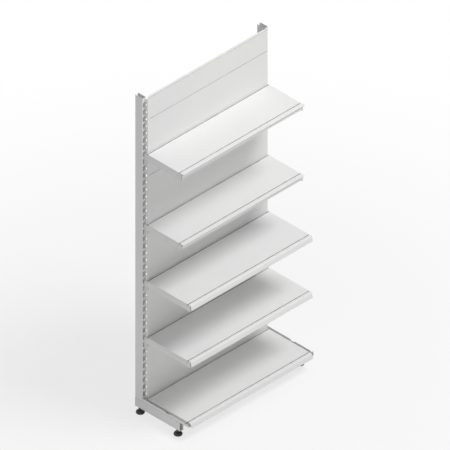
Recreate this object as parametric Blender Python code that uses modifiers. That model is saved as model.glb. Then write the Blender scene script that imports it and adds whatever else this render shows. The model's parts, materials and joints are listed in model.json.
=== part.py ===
# A single-sided wall bay of steel shop shelving: two slotted uprights on levelled legs, back
# panels hooked between them, and shelves lying on hook-in brackets.
# Metres, +Z up, front towards -Y, origin on the floor under the middle of the bay.

import math

import bmesh
import bpy
from mathutils import Matrix, Vector

# Bay and uprights
BAY_WIDTH = 1.000  # between the centre lines of the uprights
UPRIGHT_WIDTH = 0.030
UPRIGHT_DEPTH = 0.060
UPRIGHT_WALL = 0.002
UPRIGHT_LIP = 0.010
UPRIGHT_BEND = 0.003
SLOT_PITCH = 0.050
SLOT_WIDTH = 0.006
SLOT_HEIGHT = 0.032
SLOT_OFFSET = 0.006  # of each slot column from the upright's centre line

# Legs and feet
LEG_HEIGHT = 0.060
LEG_LENGTH = 0.367
LEG_WALL = 0.002
LEG_BEND = 0.004
SPIGOT_HEIGHT = 0.100
SPIGOT_HOOK_SPACE = 0.016  # left free behind the upright's front wall
FOOT_HEIGHT = 0.040
FOOT_RADIUS = 0.027
FOOT_NECK_RADIUS = 0.011
FOOT_RIM = 0.005
FOOT_RIM_TAPER = 0.0017
FOOT_SHOULDER = 0.018
FOOT_SET_IN = 0.029  # of each foot's axis from the end of the leg
FOOT_SOCKET_FLOOR = 0.010
STUD_RADIUS = 0.005
STUD_LENGTH = 0.075
STUD_CHAMFER = 0.001
NUT_HEIGHT = 0.008
NUT_ACROSS_CORNERS = 0.0196

# Base brackets
BASE_BRACKET_HEIGHT = 0.023
BASE_BRACKET_WALL = 0.0025
SCREW_FIRST = 0.012  # of the first screw from the upright's front face
SCREW_LAST_SET_IN = 0.040  # of the last screw from the leg's front end
SCREW_COUNT = 4
SCREW_RADIUS = 0.003
SCREW_HEAD_RADIUS = 0.007
SCREW_HEAD_HEIGHT = 0.007
SCREW_LENGTH = 0.012

# Back panels
PANEL_COUNT = 5
PANEL_HEIGHT = 0.400
TOP_PANEL_HEIGHT = 0.150
PANEL_STAND_OFF = 0.020  # from the upright's front face to the panel's front face
PANEL_SIDE_PLAY = 0.0074  # from the upright's centre line to the panel's side
PANEL_SHEET = 0.001
PANEL_FLANGE = 0.017
PANEL_STRIP = 0.006  # plain part of the side flange, in front of its tabs
PANEL_SEAM = 0.0006
PANEL_RELIEF = 0.003  # of the sheet's corners
TAB_WIDTH = 0.040
HOOK_DROP = 0.008
HOOK_NECK = 0.007
HOOK_FINGER = 0.003
FLANGE_SLOT_SPACING = 0.300
FLANGE_SLOT_LENGTH = 0.020
FLANGE_SLOT_WIDTH = 0.006

# Shelves and their brackets
LEVEL_SLOTS = (35, 25, 17, 9)  # the slot, counted from the bottom, that each level hooks into
SHORT_LEVELS = (1, 2)
SHORT_SHELF_DEPTH = 0.295
LONG_SHELF_DEPTH = 0.365
SHELF_SHEET = 0.001
SHELF_SIDE_PLAY = 0.0021  # from the upright's centre line to the shelf's side
SHELF_REAR_PLAY = 0.0013
SHELF_REAR_FLANGE = 0.025
SHELF_SIDE_FLANGE = 0.014
SHELF_FRONT_DROP = 0.033
TICKET_FACE_LEAN = 0.007
TICKET_FACE_BEND = 0.008
NOSE_OVERHANG = 0.010
NOSE_HEIGHT = 0.007
NOSE_BEND = 0.0025
NOSE_INNER_BEND = 0.0012
GROOVE_WIDTH = 0.007
GROOVE_DEPTH = 0.004
GROOVE_SLOPE = 0.001
REAR_GROOVE_SET_IN = 0.005  # of the groove's middle from the shelf's rear
FRONT_GROOVE_SET_IN = 0.030  # of the groove's middle from the shelf's front
STIFFENER_WIDTH = 0.030
STIFFENER_DEPTH = 0.006
STIFFENER_FOLD = 0.005
STIFFENER_SLOPE = 0.002
BRACKET_SHEET = 0.003
BRACKET_SIDE_PLAY = 0.0034  # from the upright's centre line to the bracket's outer side
BRACKET_HEIGHT = 0.045
BRACKET_TIP_SLOPE = 0.006
BRACKET_TIP_PLAY = 0.0005
BRACKET_NOTCH_DEPTH = 0.007
BRACKET_NOTCH_PLAY = 0.0015
BRACKET_TOP_RISE = 0.0083  # of the top edge over the middle of the hook's slot
BRACKET_HOOK_DROP = 0.012
BRACKET_HOOK_REACH = 0.014
BRACKET_HOOK_NECK = 0.014
BRACKET_HOOK_SLOPE = 0.006
BRACKET_LUG_REACH = 0.008
BRACKET_LUG_HEIGHT = 0.014
BRACKET_LUG_PLAY = 0.0023
BRACKET_HEEL_LENGTH = 0.020
BRACKET_HEEL_DROP = 0.003  # of the heel below the lug
BRACKET_HEEL_ROUND = 0.008
BRACKET_HOOK_ROUND = 0.003
BRACKET_CORNER_ROUND = 0.002
BRACKET_TIP_ROUND = 0.004
BRACKET_HOLE_RADIUS = 0.0025
BRACKET_HOLE_SET_IN = 0.035
BRACKET_HOLE_DROP = 0.029

# Clearances
GAP = 0.0003  # between pieces that touch
HOOK_PLAY = 0.0004  # between a hook's finger and the wall it holds
STUD_PLAY = 0.0006  # round a stud where it passes through the leg
CUT_REACH = 0.004  # of a cutter past the sheet that it cuts
MERGE = 0.000003

# Facets of the round forms
BEND_STEPS = 2
DOME_STEPS = 3
PAD_DOME_STEPS = 4
TAB_STEPS = 3  # in each quarter of a tab
HOLE_FACETS = 10
SCREW_FACETS = 10
STUD_FACETS = 16
PAD_FACETS = 18
SHARP_ANGLE = math.radians(40)

# Places that follow from the sizes above
LEG_BOTTOM = FOOT_HEIGHT
LEG_TOP = LEG_BOTTOM + LEG_HEIGHT
UPRIGHT_HEIGHT = PANEL_COUNT * PANEL_HEIGHT + TOP_PANEL_HEIGHT
SLOT_COUNT = int((UPRIGHT_HEIGHT - SLOT_HEIGHT / 2 - UPRIGHT_WALL) / SLOT_PITCH)
SHELF_REAR = PANEL_STAND_OFF + SHELF_REAR_PLAY
UNIT_DEPTH = UPRIGHT_DEPTH + SHELF_REAR + LONG_SHELF_DEPTH
FRONT_FACE_Y = UNIT_DEPTH / 2 - UPRIGHT_DEPTH  # of the uprights' front faces
LEG_REAR = -UPRIGHT_DEPTH
LEG_FRONT = LEG_REAR + LEG_LENGTH
FOOT_PLACES = {"rear": LEG_REAR + FOOT_SET_IN, "front": LEG_FRONT - FOOT_SET_IN}
SIDES = {"left": -1, "right": 1}
DECK = GAP + SHELF_SHEET / 2  # middle of the deck's sheet over the edge it lies on
BASE_EDGE = LEG_TOP + GAP + BASE_BRACKET_HEIGHT
SHELF_HALF = BAY_WIDTH / 2 - SHELF_SIDE_PLAY
BRACKET_MIDDLE = BAY_WIDTH / 2 - BRACKET_SIDE_PLAY - BRACKET_SHEET / 2
BRACKET_INNER = BRACKET_MIDDLE - BRACKET_SHEET / 2
BASE_BRACKET_INNER = BAY_WIDTH / 2 - UPRIGHT_WIDTH / 2
LONG_BRACKET = SHELF_REAR + LONG_SHELF_DEPTH - TICKET_FACE_LEAN - SHELF_SHEET - BRACKET_TIP_PLAY
SHORT_BRACKET = SHELF_REAR + SHORT_SHELF_DEPTH - NOSE_OVERHANG - SHELF_SHEET - BRACKET_TIP_PLAY


def clear_scene():
    for item in list(bpy.data.objects):
        bpy.data.objects.remove(item, do_unlink=True)


def new_collection(name):
    collection = bpy.data.collections.new(name)
    bpy.context.scene.collection.children.link(collection)
    return collection


def coat(name, colour, roughness, metallic=0.0):
    material = bpy.data.materials.new(name)
    material.use_nodes = True
    shader = material.node_tree.nodes["Principled BSDF"]
    shader.inputs["Base Color"].default_value = (*colour, 1.0)
    shader.inputs["Roughness"].default_value = roughness
    shader.inputs["Metallic"].default_value = metallic
    return material


def add_part(name, mesh, material, parent, location=(0, 0, 0)):
    part = bpy.data.objects.new(name, mesh)
    if not mesh.materials:
        mesh.materials.append(material)
    part.parent = parent
    part.location = location
    parts.objects.link(part)
    return part


def add_cutter(name, mesh, parent, location=(0, 0, 0)):
    cutter = bpy.data.objects.new(name, mesh)
    cutter.parent = parent
    cutter.location = location
    cutter.hide_render = True
    cutter.display_type = "WIRE"
    cutters.objects.link(cutter)
    return cutter


def add_anchor(name, location, parent=None):
    anchor = bpy.data.objects.new(name, None)
    anchor.parent = parent
    anchor.location = location
    parts.objects.link(anchor)
    return anchor


def thicken(part, thickness):
    shell = part.modifiers.new("sheet", "SOLIDIFY")
    shell.thickness = thickness
    shell.offset = 0
    shell.use_even_offset = True


def cut(part, cutter):
    hole = part.modifiers.new(cutter.name, "BOOLEAN")
    hole.operation = "DIFFERENCE"
    hole.solver = "EXACT"
    hole.object = cutter


def finished_mesh(name, shape):
    bmesh.ops.recalc_face_normals(shape, faces=shape.faces)
    mesh = bpy.data.meshes.new(name)
    shape.to_mesh(mesh)
    shape.free()
    return mesh


def turned_mesh(name, profile, steps):
    """A solid of revolution about the Z axis, shaded smooth but for its corners."""
    shape = bmesh.new()
    row = [shape.verts.new((radius, 0, height)) for radius, height in profile]
    edges = [shape.edges.new(pair) for pair in zip(row, row[1:])]
    geometry = row + edges
    bmesh.ops.spin(
        shape, geom=geometry, axis=(0, 0, 1), angle=2 * math.pi, steps=steps, use_merge=True
    )
    bmesh.ops.remove_doubles(shape, verts=shape.verts, dist=MERGE)
    mesh = finished_mesh(name, shape)
    mesh.shade_smooth()
    mesh.set_sharp_from_angle(angle=SHARP_ANGLE)
    return mesh


def rounded(corners, steps=BEND_STEPS, closed=False):
    """The points of an outline whose corners are (first, second, radius)."""
    points = []
    for index, (first, second, radius) in enumerate(corners):
        corner = Vector((first, second))
        if not radius or (not closed and index in (0, len(corners) - 1)):
            points.append(corner)
            continue
        following = corners[(index + 1) % len(corners)]
        back = (Vector(corners[index - 1][:2]) - corner).normalized()
        ahead = (Vector(following[:2]) - corner).normalized()
        half = back.angle(ahead) / 2
        centre = corner + (back + ahead).normalized() * (radius / math.sin(half))
        start = corner + back * (radius / math.tan(half)) - centre
        turn = start.angle_signed(corner + ahead * (radius / math.tan(half)) - centre)
        for step in range(steps + 1):
            spoke = start.copy()
            spoke.rotate(Matrix.Rotation(-turn * step / steps, 2))
            points.append(centre + spoke)
    return points


def circle(radius, count, centre=(0, 0)):
    points = []
    for index in range(count):
        turn = 2 * math.pi * index / count
        points.append(Vector(centre) + radius * Vector((math.cos(turn), math.sin(turn))))
    return points


def extruded(shape, edges, shift):
    """Extrudes edges by a vector and gives the new edges and vertices."""
    made = bmesh.ops.extrude_edge_only(shape, edges=edges)["geom"]
    fresh = [item for item in made if isinstance(item, bmesh.types.BMVert)]
    bmesh.ops.translate(shape, verts=fresh, vec=shift)
    ends = [item for item in made if isinstance(item, bmesh.types.BMEdge)]
    return [edge for edge in ends if all(vert in fresh for vert in edge.verts)], fresh


def swept(section, places, along, closed=False):
    """An open sheet: a section's points carried along an axis through each of the places."""
    shape = bmesh.new()
    row = [shape.verts.new(point + along * places[0]) for point in section]
    pairs = list(zip(row, row[1:]))
    if closed:
        pairs.append((row[-1], row[0]))
    edges = [shape.edges.new(pair) for pair in pairs]
    for before, after in zip(places, places[1:]):
        edges, _ = extruded(shape, edges, along * (after - before))
    return shape


def edges_where(shape, test):
    return [edge for edge in shape.edges if all(test(vert.co) for vert in edge.verts)]


def plate(name, loops, thickness):
    """A flat plate in XY from an outline and the outlines of its holes."""
    curve = bpy.data.curves.new(name, "CURVE")
    curve.dimensions = "2D"
    curve.fill_mode = "BOTH"
    curve.extrude = thickness / 2
    for loop in loops:
        spline = curve.splines.new("POLY")
        spline.points.add(len(loop) - 1)
        spline.use_cyclic_u = True
        for point, place in zip(spline.points, loop):
            point.co = (place.x, place.y, 0, 1)
    drawn = bpy.data.objects.new(name, curve)
    bpy.context.scene.collection.objects.link(drawn)
    mesh = bpy.data.meshes.new_from_object(drawn.evaluated_get(bpy.context.evaluated_depsgraph_get()))
    bpy.data.objects.remove(drawn)
    bpy.data.curves.remove(curve)
    shape = bmesh.new()
    shape.from_mesh(mesh)
    bmesh.ops.remove_doubles(shape, verts=shape.verts, dist=MERGE)
    bpy.data.meshes.remove(mesh)
    return finished_mesh(name, shape)


def standing(mesh):
    """Stands a plate drawn as (forward, up) on edge, so that its thickness lies along X."""
    mesh.transform(Matrix(((0, 0, -1, 0), (-1, 0, 0, 0), (0, 1, 0, 0), (0, 0, 0, 1))))
    return mesh


def quarter_round(inner, outer, low, high, steps):
    """A dome's profile, from its top at the inner radius down to its foot at the outer one."""
    turns = [math.pi / 2 * step / steps for step in range(steps + 1)]
    return [
        (inner + (outer - inner) * math.sin(turn), low + (high - low) * math.cos(turn)) for turn in turns
    ]


def box(shape, low, high):
    middle = (Vector(low) + Vector(high)) / 2
    size = Vector(high) - Vector(low)
    bmesh.ops.create_cube(shape, size=1, matrix=Matrix.Translation(middle) @ Matrix.Diagonal((*size, 1)))


def slot_height(index):
    return LEG_TOP + SLOT_PITCH * index


def slot_cutter(anchor, side):
    """Two columns of slots for one upright, as an array of one slot."""
    shape = bmesh.new()
    low = (-SLOT_WIDTH / 2, -CUT_REACH, -SLOT_HEIGHT / 2)
    box(shape, low, (SLOT_WIDTH / 2, UPRIGHT_WALL + CUT_REACH, SLOT_HEIGHT / 2))
    place = (-SLOT_OFFSET, 0, slot_height(1))
    cutter = add_cutter(f"slots_{side}", finished_mesh(f"slots_{side}", shape), anchor, place)
    for count, step in ((2, (2 * SLOT_OFFSET, 0, 0)), (SLOT_COUNT, (0, 0, SLOT_PITCH))):
        repeat = cutter.modifiers.new("repeat", "ARRAY")
        repeat.count = count
        repeat.use_relative_offset = False
        repeat.use_constant_offset = True
        repeat.constant_offset_displace = step
    return cutter


def make_upright(side, anchor):
    half = (UPRIGHT_WIDTH - UPRIGHT_WALL) / 2
    front = UPRIGHT_WALL / 2
    back = UPRIGHT_DEPTH - UPRIGHT_WALL / 2
    lip = UPRIGHT_WIDTH / 2 - UPRIGHT_LIP
    corners = [
        (-lip, back, 0),
        (-half, back, UPRIGHT_BEND),
        (-half, front, UPRIGHT_BEND),
        (half, front, UPRIGHT_BEND),
        (half, back, UPRIGHT_BEND),
        (lip, back, 0),
    ]
    section = [Vector((*point, 0)) for point in rounded(corners)]
    foot = LEG_TOP + GAP
    shape = swept(section, (foot, LEG_TOP + UPRIGHT_HEIGHT), Vector((0, 0, 1)))
    upright = add_part(f"upright_{side}", finished_mesh(f"upright_{side}", shape), upright_coat, anchor)
    thicken(upright, UPRIGHT_WALL)
    cut(upright, slot_cutter(anchor, side))


def make_spigot(side, anchor):
    """The channel welded on the leg, which the upright slips over."""
    half = UPRIGHT_WIDTH / 2 - UPRIGHT_WALL - GAP - LEG_WALL / 2
    front = UPRIGHT_WALL + SPIGOT_HOOK_SPACE
    back = UPRIGHT_DEPTH - UPRIGHT_WALL - GAP - LEG_WALL / 2
    corners = [
        (-half, front, 0),
        (-half, back, UPRIGHT_BEND),
        (half, back, UPRIGHT_BEND),
        (half, front, 0),
    ]
    section = [Vector((*point, 0)) for point in rounded(corners)]
    shape = swept(section, (LEG_TOP + GAP, LEG_TOP + SPIGOT_HEIGHT), Vector((0, 0, 1)))
    spigot = add_part(f"spigot_{side}", finished_mesh(f"spigot_{side}", shape), leg_coat, anchor)
    thicken(spigot, LEG_WALL)


def screw_places():
    spacing = (LEG_FRONT - SCREW_LAST_SET_IN - SCREW_FIRST) / (SCREW_COUNT - 1)
    return [SCREW_FIRST + spacing * index for index in range(SCREW_COUNT)]


def round_holes(name, anchor, places, radius, facets, low, high):
    """A cutter of upright round holes at the places along a leg."""
    shape = bmesh.new()
    for place in places:
        bmesh.ops.create_cone(
            shape,
            cap_ends=True,
            segments=facets,
            radius1=radius,
            radius2=radius,
            depth=high - low + 2 * CUT_REACH,
            matrix=Matrix.Translation((0, -place, (low + high) / 2)),
        )
    return add_cutter(name, finished_mesh(name, shape), anchor)


def screw_hole_cutter(side, anchor):
    low = LEG_TOP - LEG_WALL
    high = LEG_TOP + GAP + BASE_BRACKET_WALL
    radius = SCREW_RADIUS + GAP
    return round_holes(f"screw_holes_{side}", anchor, screw_places(), radius, SCREW_FACETS, low, high)


def stud_hole_cutter(side, anchor):
    high = LEG_BOTTOM + LEG_WALL
    radius = STUD_RADIUS + STUD_PLAY
    places = FOOT_PLACES.values()
    return round_holes(f"stud_holes_{side}", anchor, places, radius, STUD_FACETS, LEG_BOTTOM, high)


def make_leg(side, anchor, screw_holes):
    half = (UPRIGHT_WIDTH - LEG_WALL) / 2
    low = LEG_BOTTOM + LEG_WALL / 2
    high = LEG_TOP - LEG_WALL / 2
    corners = [(-half, low), (half, low), (half, high), (-half, high)]
    outline = rounded([(*corner, LEG_BEND) for corner in corners], closed=True)
    section = [Vector((point.x, 0, point.y)) for point in outline]
    shape = swept(section, (-LEG_REAR, -LEG_FRONT), Vector((0, 1, 0)), closed=True)
    leg = add_part(f"leg_{side}", finished_mesh(f"leg_{side}", shape), leg_coat, anchor)
    thicken(leg, LEG_WALL)
    cut(leg, screw_holes)
    cut(leg, stud_hole_cutter(side, anchor))


def make_leg_nut(side, end, foot):
    """The weld nut inside the leg that a foot's stud screws into."""
    loops = [circle(NUT_ACROSS_CORNERS / 2, 6), circle(STUD_RADIUS + GAP, STUD_FACETS)]
    mesh = plate(f"leg_nut_{end}_{side}", loops, NUT_HEIGHT)
    height = LEG_BOTTOM + LEG_WALL + GAP + NUT_HEIGHT / 2
    add_part(f"leg_nut_{end}_{side}", mesh, zinc, foot, (0, 0, height))


def notch_places(depth):
    """The stretches (from, to) of a bracket's top edge that clear the shelf's grooves and stiffener."""
    groove = GROOVE_WIDTH / 2 + BRACKET_NOTCH_PLAY
    rib = STIFFENER_WIDTH / 2 + BRACKET_NOTCH_PLAY
    rear = SHELF_REAR + REAR_GROOVE_SET_IN
    middle = SHELF_REAR + depth / 2
    front = SHELF_REAR + depth - FRONT_GROOVE_SET_IN
    return [
        (SHELF_REAR - BRACKET_NOTCH_PLAY, rear + groove),
        (middle - rib, middle + rib),
        (front - groove, front + groove),
    ]


def make_base_bracket(side, anchor, screw_holes):
    """The channel on the leg that carries the base shelf. Its rear is cut clear of the panel."""
    half = (UPRIGHT_WIDTH - BASE_BRACKET_WALL) / 2
    floor = LEG_TOP + GAP + BASE_BRACKET_WALL / 2
    corners = [
        (-half, BASE_EDGE, 0),
        (-half, floor, LEG_BEND),
        (half, floor, LEG_BEND),
        (half, BASE_EDGE, 0),
    ]
    section = [Vector((point.x, 0, point.y)) for point in rounded(corners)]
    shape = swept(section, (-GAP, -LONG_BRACKET), Vector((0, 1, 0)))
    for vert in shape.verts:
        if vert.co.y < -LONG_BRACKET / 2:
            vert.co.y += BRACKET_TIP_SLOPE * (vert.co.z - floor) / BASE_BRACKET_HEIGHT
    name = f"base_bracket_{side}"
    bracket = add_part(name, finished_mesh(name, shape), leg_coat, anchor)
    thicken(bracket, BASE_BRACKET_WALL)
    cut(bracket, screw_holes)
    notches = bmesh.new()
    rear, *others = notch_places(LONG_SHELF_DEPTH)
    for start, end in others:
        low = (-UPRIGHT_WIDTH, -end, BASE_EDGE - BRACKET_NOTCH_DEPTH)
        box(notches, low, (UPRIGHT_WIDTH, -start, BASE_EDGE + CUT_REACH))
    inward = -SIDES[side]
    reach = sorted((inward * (PANEL_SIDE_PLAY - 2 * GAP), inward * UPRIGHT_WIDTH))
    low = (reach[0], -rear[1], LEG_TOP - CUT_REACH)
    box(notches, low, (reach[1], CUT_REACH, BASE_EDGE + CUT_REACH))
    cut(bracket, add_cutter(f"base_notches_{side}", finished_mesh(f"base_notches_{side}", notches), anchor))


def make_base_screws(side, anchor):
    seat = LEG_TOP + 2 * GAP + BASE_BRACKET_WALL
    profile = quarter_round(0, SCREW_HEAD_RADIUS, 0, SCREW_HEAD_HEIGHT, DOME_STEPS)
    profile += [(SCREW_RADIUS, 0), (SCREW_RADIUS, -SCREW_LENGTH), (0, -SCREW_LENGTH)]
    for number, place in enumerate(screw_places(), 1):
        name = f"base_bracket_screw_{side}_{number}"
        add_part(name, turned_mesh(name, profile, SCREW_FACETS), zinc, anchor, (0, -place, seat))


def make_foot(side, end, foot):
    """A levelling foot: a moulded pad that stands still, and a stud that turns in its socket."""
    socket = STUD_RADIUS + GAP
    top = LEG_BOTTOM - GAP
    inside = [(0, FOOT_SOCKET_FLOOR), (socket, FOOT_SOCKET_FLOOR), (socket, top), (FOOT_NECK_RADIUS, top)]
    dome = quarter_round(FOOT_NECK_RADIUS, FOOT_RADIUS, FOOT_RIM, FOOT_SHOULDER, PAD_DOME_STEPS)
    rim = [(FOOT_RADIUS - FOOT_RIM_TAPER, 0), (0, 0)]
    name = f"foot_pad_{end}_{side}"
    add_part(name, turned_mesh(name, inside + dome + rim, PAD_FACETS), pad_plastic, foot)
    low = FOOT_SOCKET_FLOOR + GAP
    high = low + STUD_LENGTH
    profile = [
        (0, high),
        (STUD_RADIUS - STUD_CHAMFER, high),
        (STUD_RADIUS, high - STUD_CHAMFER),
        (STUD_RADIUS, low),
        (0, low),
    ]
    name = f"foot_stud_{end}_{side}"
    add_part(name, turned_mesh(name, profile, STUD_FACETS), zinc, foot)


def tab_outline(centre, hooked):
    """One rounded tab of a panel's side flange. A hooked one reaches into the slot above it."""
    strip = PANEL_STAND_OFF - PANEL_STRIP
    tip = GAP
    points = []
    last = 0 if hooked else TAB_STEPS
    for step in range(-TAB_STEPS, last + 1):
        turn = math.pi / 2 * step / TAB_STEPS
        reach = (strip - tip) * math.cos(turn)
        points.append((strip - reach, centre + TAB_WIDTH / 2 * math.sin(turn)))
    if hooked:
        seat = centre + (SLOT_PITCH - SLOT_HEIGHT) / 2 + GAP
        near = -UPRIGHT_WALL - HOOK_PLAY
        far = near - HOOK_FINGER
        points += [
            (tip, seat),
            (near, seat),
            (near, seat - HOOK_DROP),
            (far, seat - HOOK_DROP),
            (far, seat + HOOK_NECK),
            (strip, centre + TAB_WIDTH / 2),
        ]
    return points


def side_flange(bottom, top):
    """The rear edge of a panel's side flange, upwards, with its tabs between the uprights' slots."""
    centres = [slot_height(index + 0.5) for index in range(SLOT_COUNT + 1)]
    low = bottom + PANEL_RELIEF + TAB_WIDTH / 2
    high = top - PANEL_RELIEF - TAB_WIDTH / 2
    centres = [centre for centre in centres if low - GAP < centre < high + GAP]
    hooked = (centres[0], centres[-2])
    strip = PANEL_STAND_OFF - PANEL_STRIP
    points = [(strip, bottom + PANEL_RELIEF)]
    for centre in centres:
        points += tab_outline(centre, centre in hooked)
    return points + [(strip, top - PANEL_RELIEF)]


def panel_mesh(name, bottom, top):
    half = BAY_WIDTH / 2 - PANEL_SIDE_PLAY - PANEL_SHEET / 2
    face = PANEL_STAND_OFF - PANEL_SHEET / 2
    low = bottom + PANEL_SHEET / 2
    high = top - PANEL_SHEET / 2
    section = [Vector((0, -face, z)) for z in (low, bottom + PANEL_RELIEF, top - PANEL_RELIEF, high)]
    inset = half - PANEL_RELIEF
    shape = swept(section, (-half, -inset, inset, half), Vector((1, 0, 0)))
    for edge_height in (low, high):
        edges = edges_where(
            shape, lambda place: abs(place.z - edge_height) < GAP and abs(place.x) < inset + GAP
        )
        _, fresh = extruded(shape, edges, Vector((0, PANEL_FLANGE, 0)))
        for vert in fresh:
            vert.co.x -= math.copysign(PANEL_FLANGE, vert.co.x)
    for side in SIDES.values():
        edge = [vert for vert in shape.verts if abs(vert.co.x - side * half) < GAP]
        edge.sort(key=lambda vert: vert.co.z)
        outline = side_flange(bottom, top)
        rear = [shape.verts.new((side * half, -reach, height)) for reach, height in outline]
        shape.faces.new([edge[2], edge[1], *rear])
    return finished_mesh(name, shape)


def flange_slot_cutter(name, top, anchor):
    shape = bmesh.new()
    middle = PANEL_STAND_OFF - PANEL_FLANGE / 2
    for side in SIDES.values():
        x = side * FLANGE_SLOT_SPACING / 2
        low = (x - FLANGE_SLOT_LENGTH / 2, -middle - FLANGE_SLOT_WIDTH / 2, top - CUT_REACH)
        high = (x + FLANGE_SLOT_LENGTH / 2, -middle + FLANGE_SLOT_WIDTH / 2, top + CUT_REACH)
        box(shape, low, high)
    return add_cutter(name, finished_mesh(name, shape), anchor)


def make_panels(anchor):
    heights = [PANEL_HEIGHT] * PANEL_COUNT + [TOP_PANEL_HEIGHT]
    bottom = LEG_TOP
    for number, height in enumerate(heights, 1):
        name = f"back_panel_{number}" if number <= PANEL_COUNT else "back_panel_top"
        top = bottom + height
        mesh = panel_mesh(name, bottom + PANEL_SEAM / 2, top - PANEL_SEAM / 2)
        panel = add_part(name, mesh, panel_coat, anchor)
        thicken(panel, PANEL_SHEET)
        cut(panel, flange_slot_cutter(f"flange_slots_{number}", top, anchor))
        bottom = top


def bracket_outline(length, depth):
    """The bracket's outline as (forward from the upright, up from the top edge, corner radius)."""
    seat = -BRACKET_TOP_RISE - SLOT_HEIGHT / 2 + GAP
    near = -UPRIGHT_WALL - HOOK_PLAY
    far = -BRACKET_HOOK_REACH
    finger = seat - BRACKET_HOOK_DROP
    neck = seat + BRACKET_HOOK_NECK
    corners = [
        (near, seat, 0),
        (near, finger, BRACKET_CORNER_ROUND),
        ((near + far) / 2, finger, BRACKET_HOOK_ROUND),
        (far, finger + BRACKET_HOOK_SLOPE, BRACKET_HOOK_ROUND),
        (far, neck - BRACKET_HOOK_SLOPE, BRACKET_HOOK_ROUND),
        (GAP, neck, BRACKET_HOOK_ROUND),
        (-neck, 0, BRACKET_CORNER_ROUND),
    ]
    for start, end in notch_places(depth):
        corners += [
            (start, 0, 0),
            (start, -BRACKET_NOTCH_DEPTH, BRACKET_CORNER_ROUND),
            (end, -BRACKET_NOTCH_DEPTH, BRACKET_CORNER_ROUND),
            (end, 0, 0),
        ]
    lug_low = -BRACKET_TOP_RISE - SLOT_PITCH - SLOT_HEIGHT / 2 + BRACKET_LUG_PLAY
    lug_high = lug_low + BRACKET_LUG_HEIGHT
    heel = lug_low - BRACKET_HEEL_DROP
    corners += [
        (length - BRACKET_TIP_SLOPE, 0, BRACKET_CORNER_ROUND),
        (length, -BRACKET_HEIGHT, BRACKET_TIP_ROUND),
        (BRACKET_HEEL_LENGTH, -BRACKET_HEIGHT, BRACKET_TIP_ROUND),
        (BRACKET_HEEL_LENGTH, heel, BRACKET_HEEL_ROUND),
        (GAP, heel, 0),
        (GAP, lug_low, 0),
        (-BRACKET_LUG_REACH, lug_low, BRACKET_CORNER_ROUND),
        (-BRACKET_LUG_REACH, lug_high - BRACKET_TIP_ROUND, BRACKET_CORNER_ROUND),
        (GAP, lug_high, 0),
        (GAP, seat, 0),
    ]
    return rounded(corners, closed=True)


def make_brackets(number, length, depth, level):
    for side, sign in SIDES.items():
        name = f"shelf_bracket_{side}_{number}"
        centre = (length - BRACKET_HOLE_SET_IN, -BRACKET_HOLE_DROP)
        hole = circle(BRACKET_HOLE_RADIUS, HOLE_FACETS, centre)
        mesh = standing(plate(name, [bracket_outline(length, depth), hole], BRACKET_SHEET))
        add_part(name, mesh, bracket_coat, level, (sign * BRACKET_MIDDLE, 0, 0))


def groove(middle):
    """A pressed groove across the deck, as (forward, up, corner radius)."""
    half = GROOVE_WIDTH / 2 - SHELF_SHEET / 2
    low = DECK - GROOVE_DEPTH
    return [
        (middle - half, DECK, 0),
        (middle - half + GROOVE_SLOPE, low, 0),
        (middle + half - GROOVE_SLOPE, low, 0),
        (middle + half, DECK, 0),
    ]


def shelf_mesh(name, depth, front_fold, flange_half):
    """A folded deck. Its rear flange stops short of what carries the shelf at each side."""
    half = SHELF_HALF - SHELF_SHEET / 2
    rear = SHELF_REAR + SHELF_SHEET / 2
    front = SHELF_REAR + depth - SHELF_SHEET / 2
    corners = [(rear, DECK - SHELF_REAR_FLANGE, 0), (rear, DECK, 0)]
    corners += groove(SHELF_REAR + REAR_GROOVE_SET_IN)
    corners += groove(SHELF_REAR + depth - FRONT_GROOVE_SET_IN)
    corners += front_fold(front)
    section = [Vector((0, -point.x, point.y)) for point in rounded(corners)]
    shape = swept(section, (-half, -flange_half, flange_half, half), Vector((1, 0, 0)))
    rear_ends = []
    for face in shape.faces:
        middle = face.calc_center_median()
        if abs(middle.x) > flange_half and middle.z < -SHELF_SIDE_FLANGE / 2 and middle.y > -rear - GAP:
            rear_ends.append(face)
    bmesh.ops.delete(shape, geom=rear_ends, context="FACES")
    sides = edges_where(shape, lambda place: abs(place.x) > half - GAP and abs(place.z - DECK) < GAP)
    long_sides = [edge for edge in sides if edge.calc_length() > depth / 2]
    extruded(shape, long_sides, Vector((0, 0, -SHELF_SIDE_FLANGE)))
    return finished_mesh(name, shape)


def ticket_front(front):
    """The lower shelves' front: rounded over, then a face that leans out downwards."""
    return [
        (front - TICKET_FACE_LEAN, DECK, TICKET_FACE_BEND),
        (front, DECK - SHELF_FRONT_DROP, 0),
    ]


def nosed_front(front):
    """The upper shelves' front: a nose folded back under, then an upright face set back from it."""
    return [
        (front, DECK, NOSE_BEND),
        (front, DECK - NOSE_HEIGHT, NOSE_BEND),
        (front - NOSE_OVERHANG, DECK - NOSE_HEIGHT, NOSE_INNER_BEND),
        (front - NOSE_OVERHANG, DECK - SHELF_FRONT_DROP, 0),
    ]


def make_stiffener(name, depth, level):
    """The hat section under a deck, which drops into the brackets' middle notches."""
    high = DECK - SHELF_SHEET - GAP
    low = high - STIFFENER_DEPTH + SHELF_SHEET
    middle = SHELF_REAR + depth / 2
    half = STIFFENER_WIDTH / 2
    inner = half - STIFFENER_FOLD
    corners = [
        (-half, high),
        (-inner, high),
        (-inner + STIFFENER_SLOPE, low),
        (inner - STIFFENER_SLOPE, low),
        (inner, high),
        (half, high),
    ]
    section = [Vector((0, -middle - reach, height)) for reach, height in corners]
    end = SHELF_HALF - SHELF_SHEET - GAP
    shape = swept(section, (-end, end), Vector((1, 0, 0)))
    stiffener = add_part(name, finished_mesh(name, shape), shelf_coat, level)
    thicken(stiffener, SHELF_SHEET)


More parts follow.
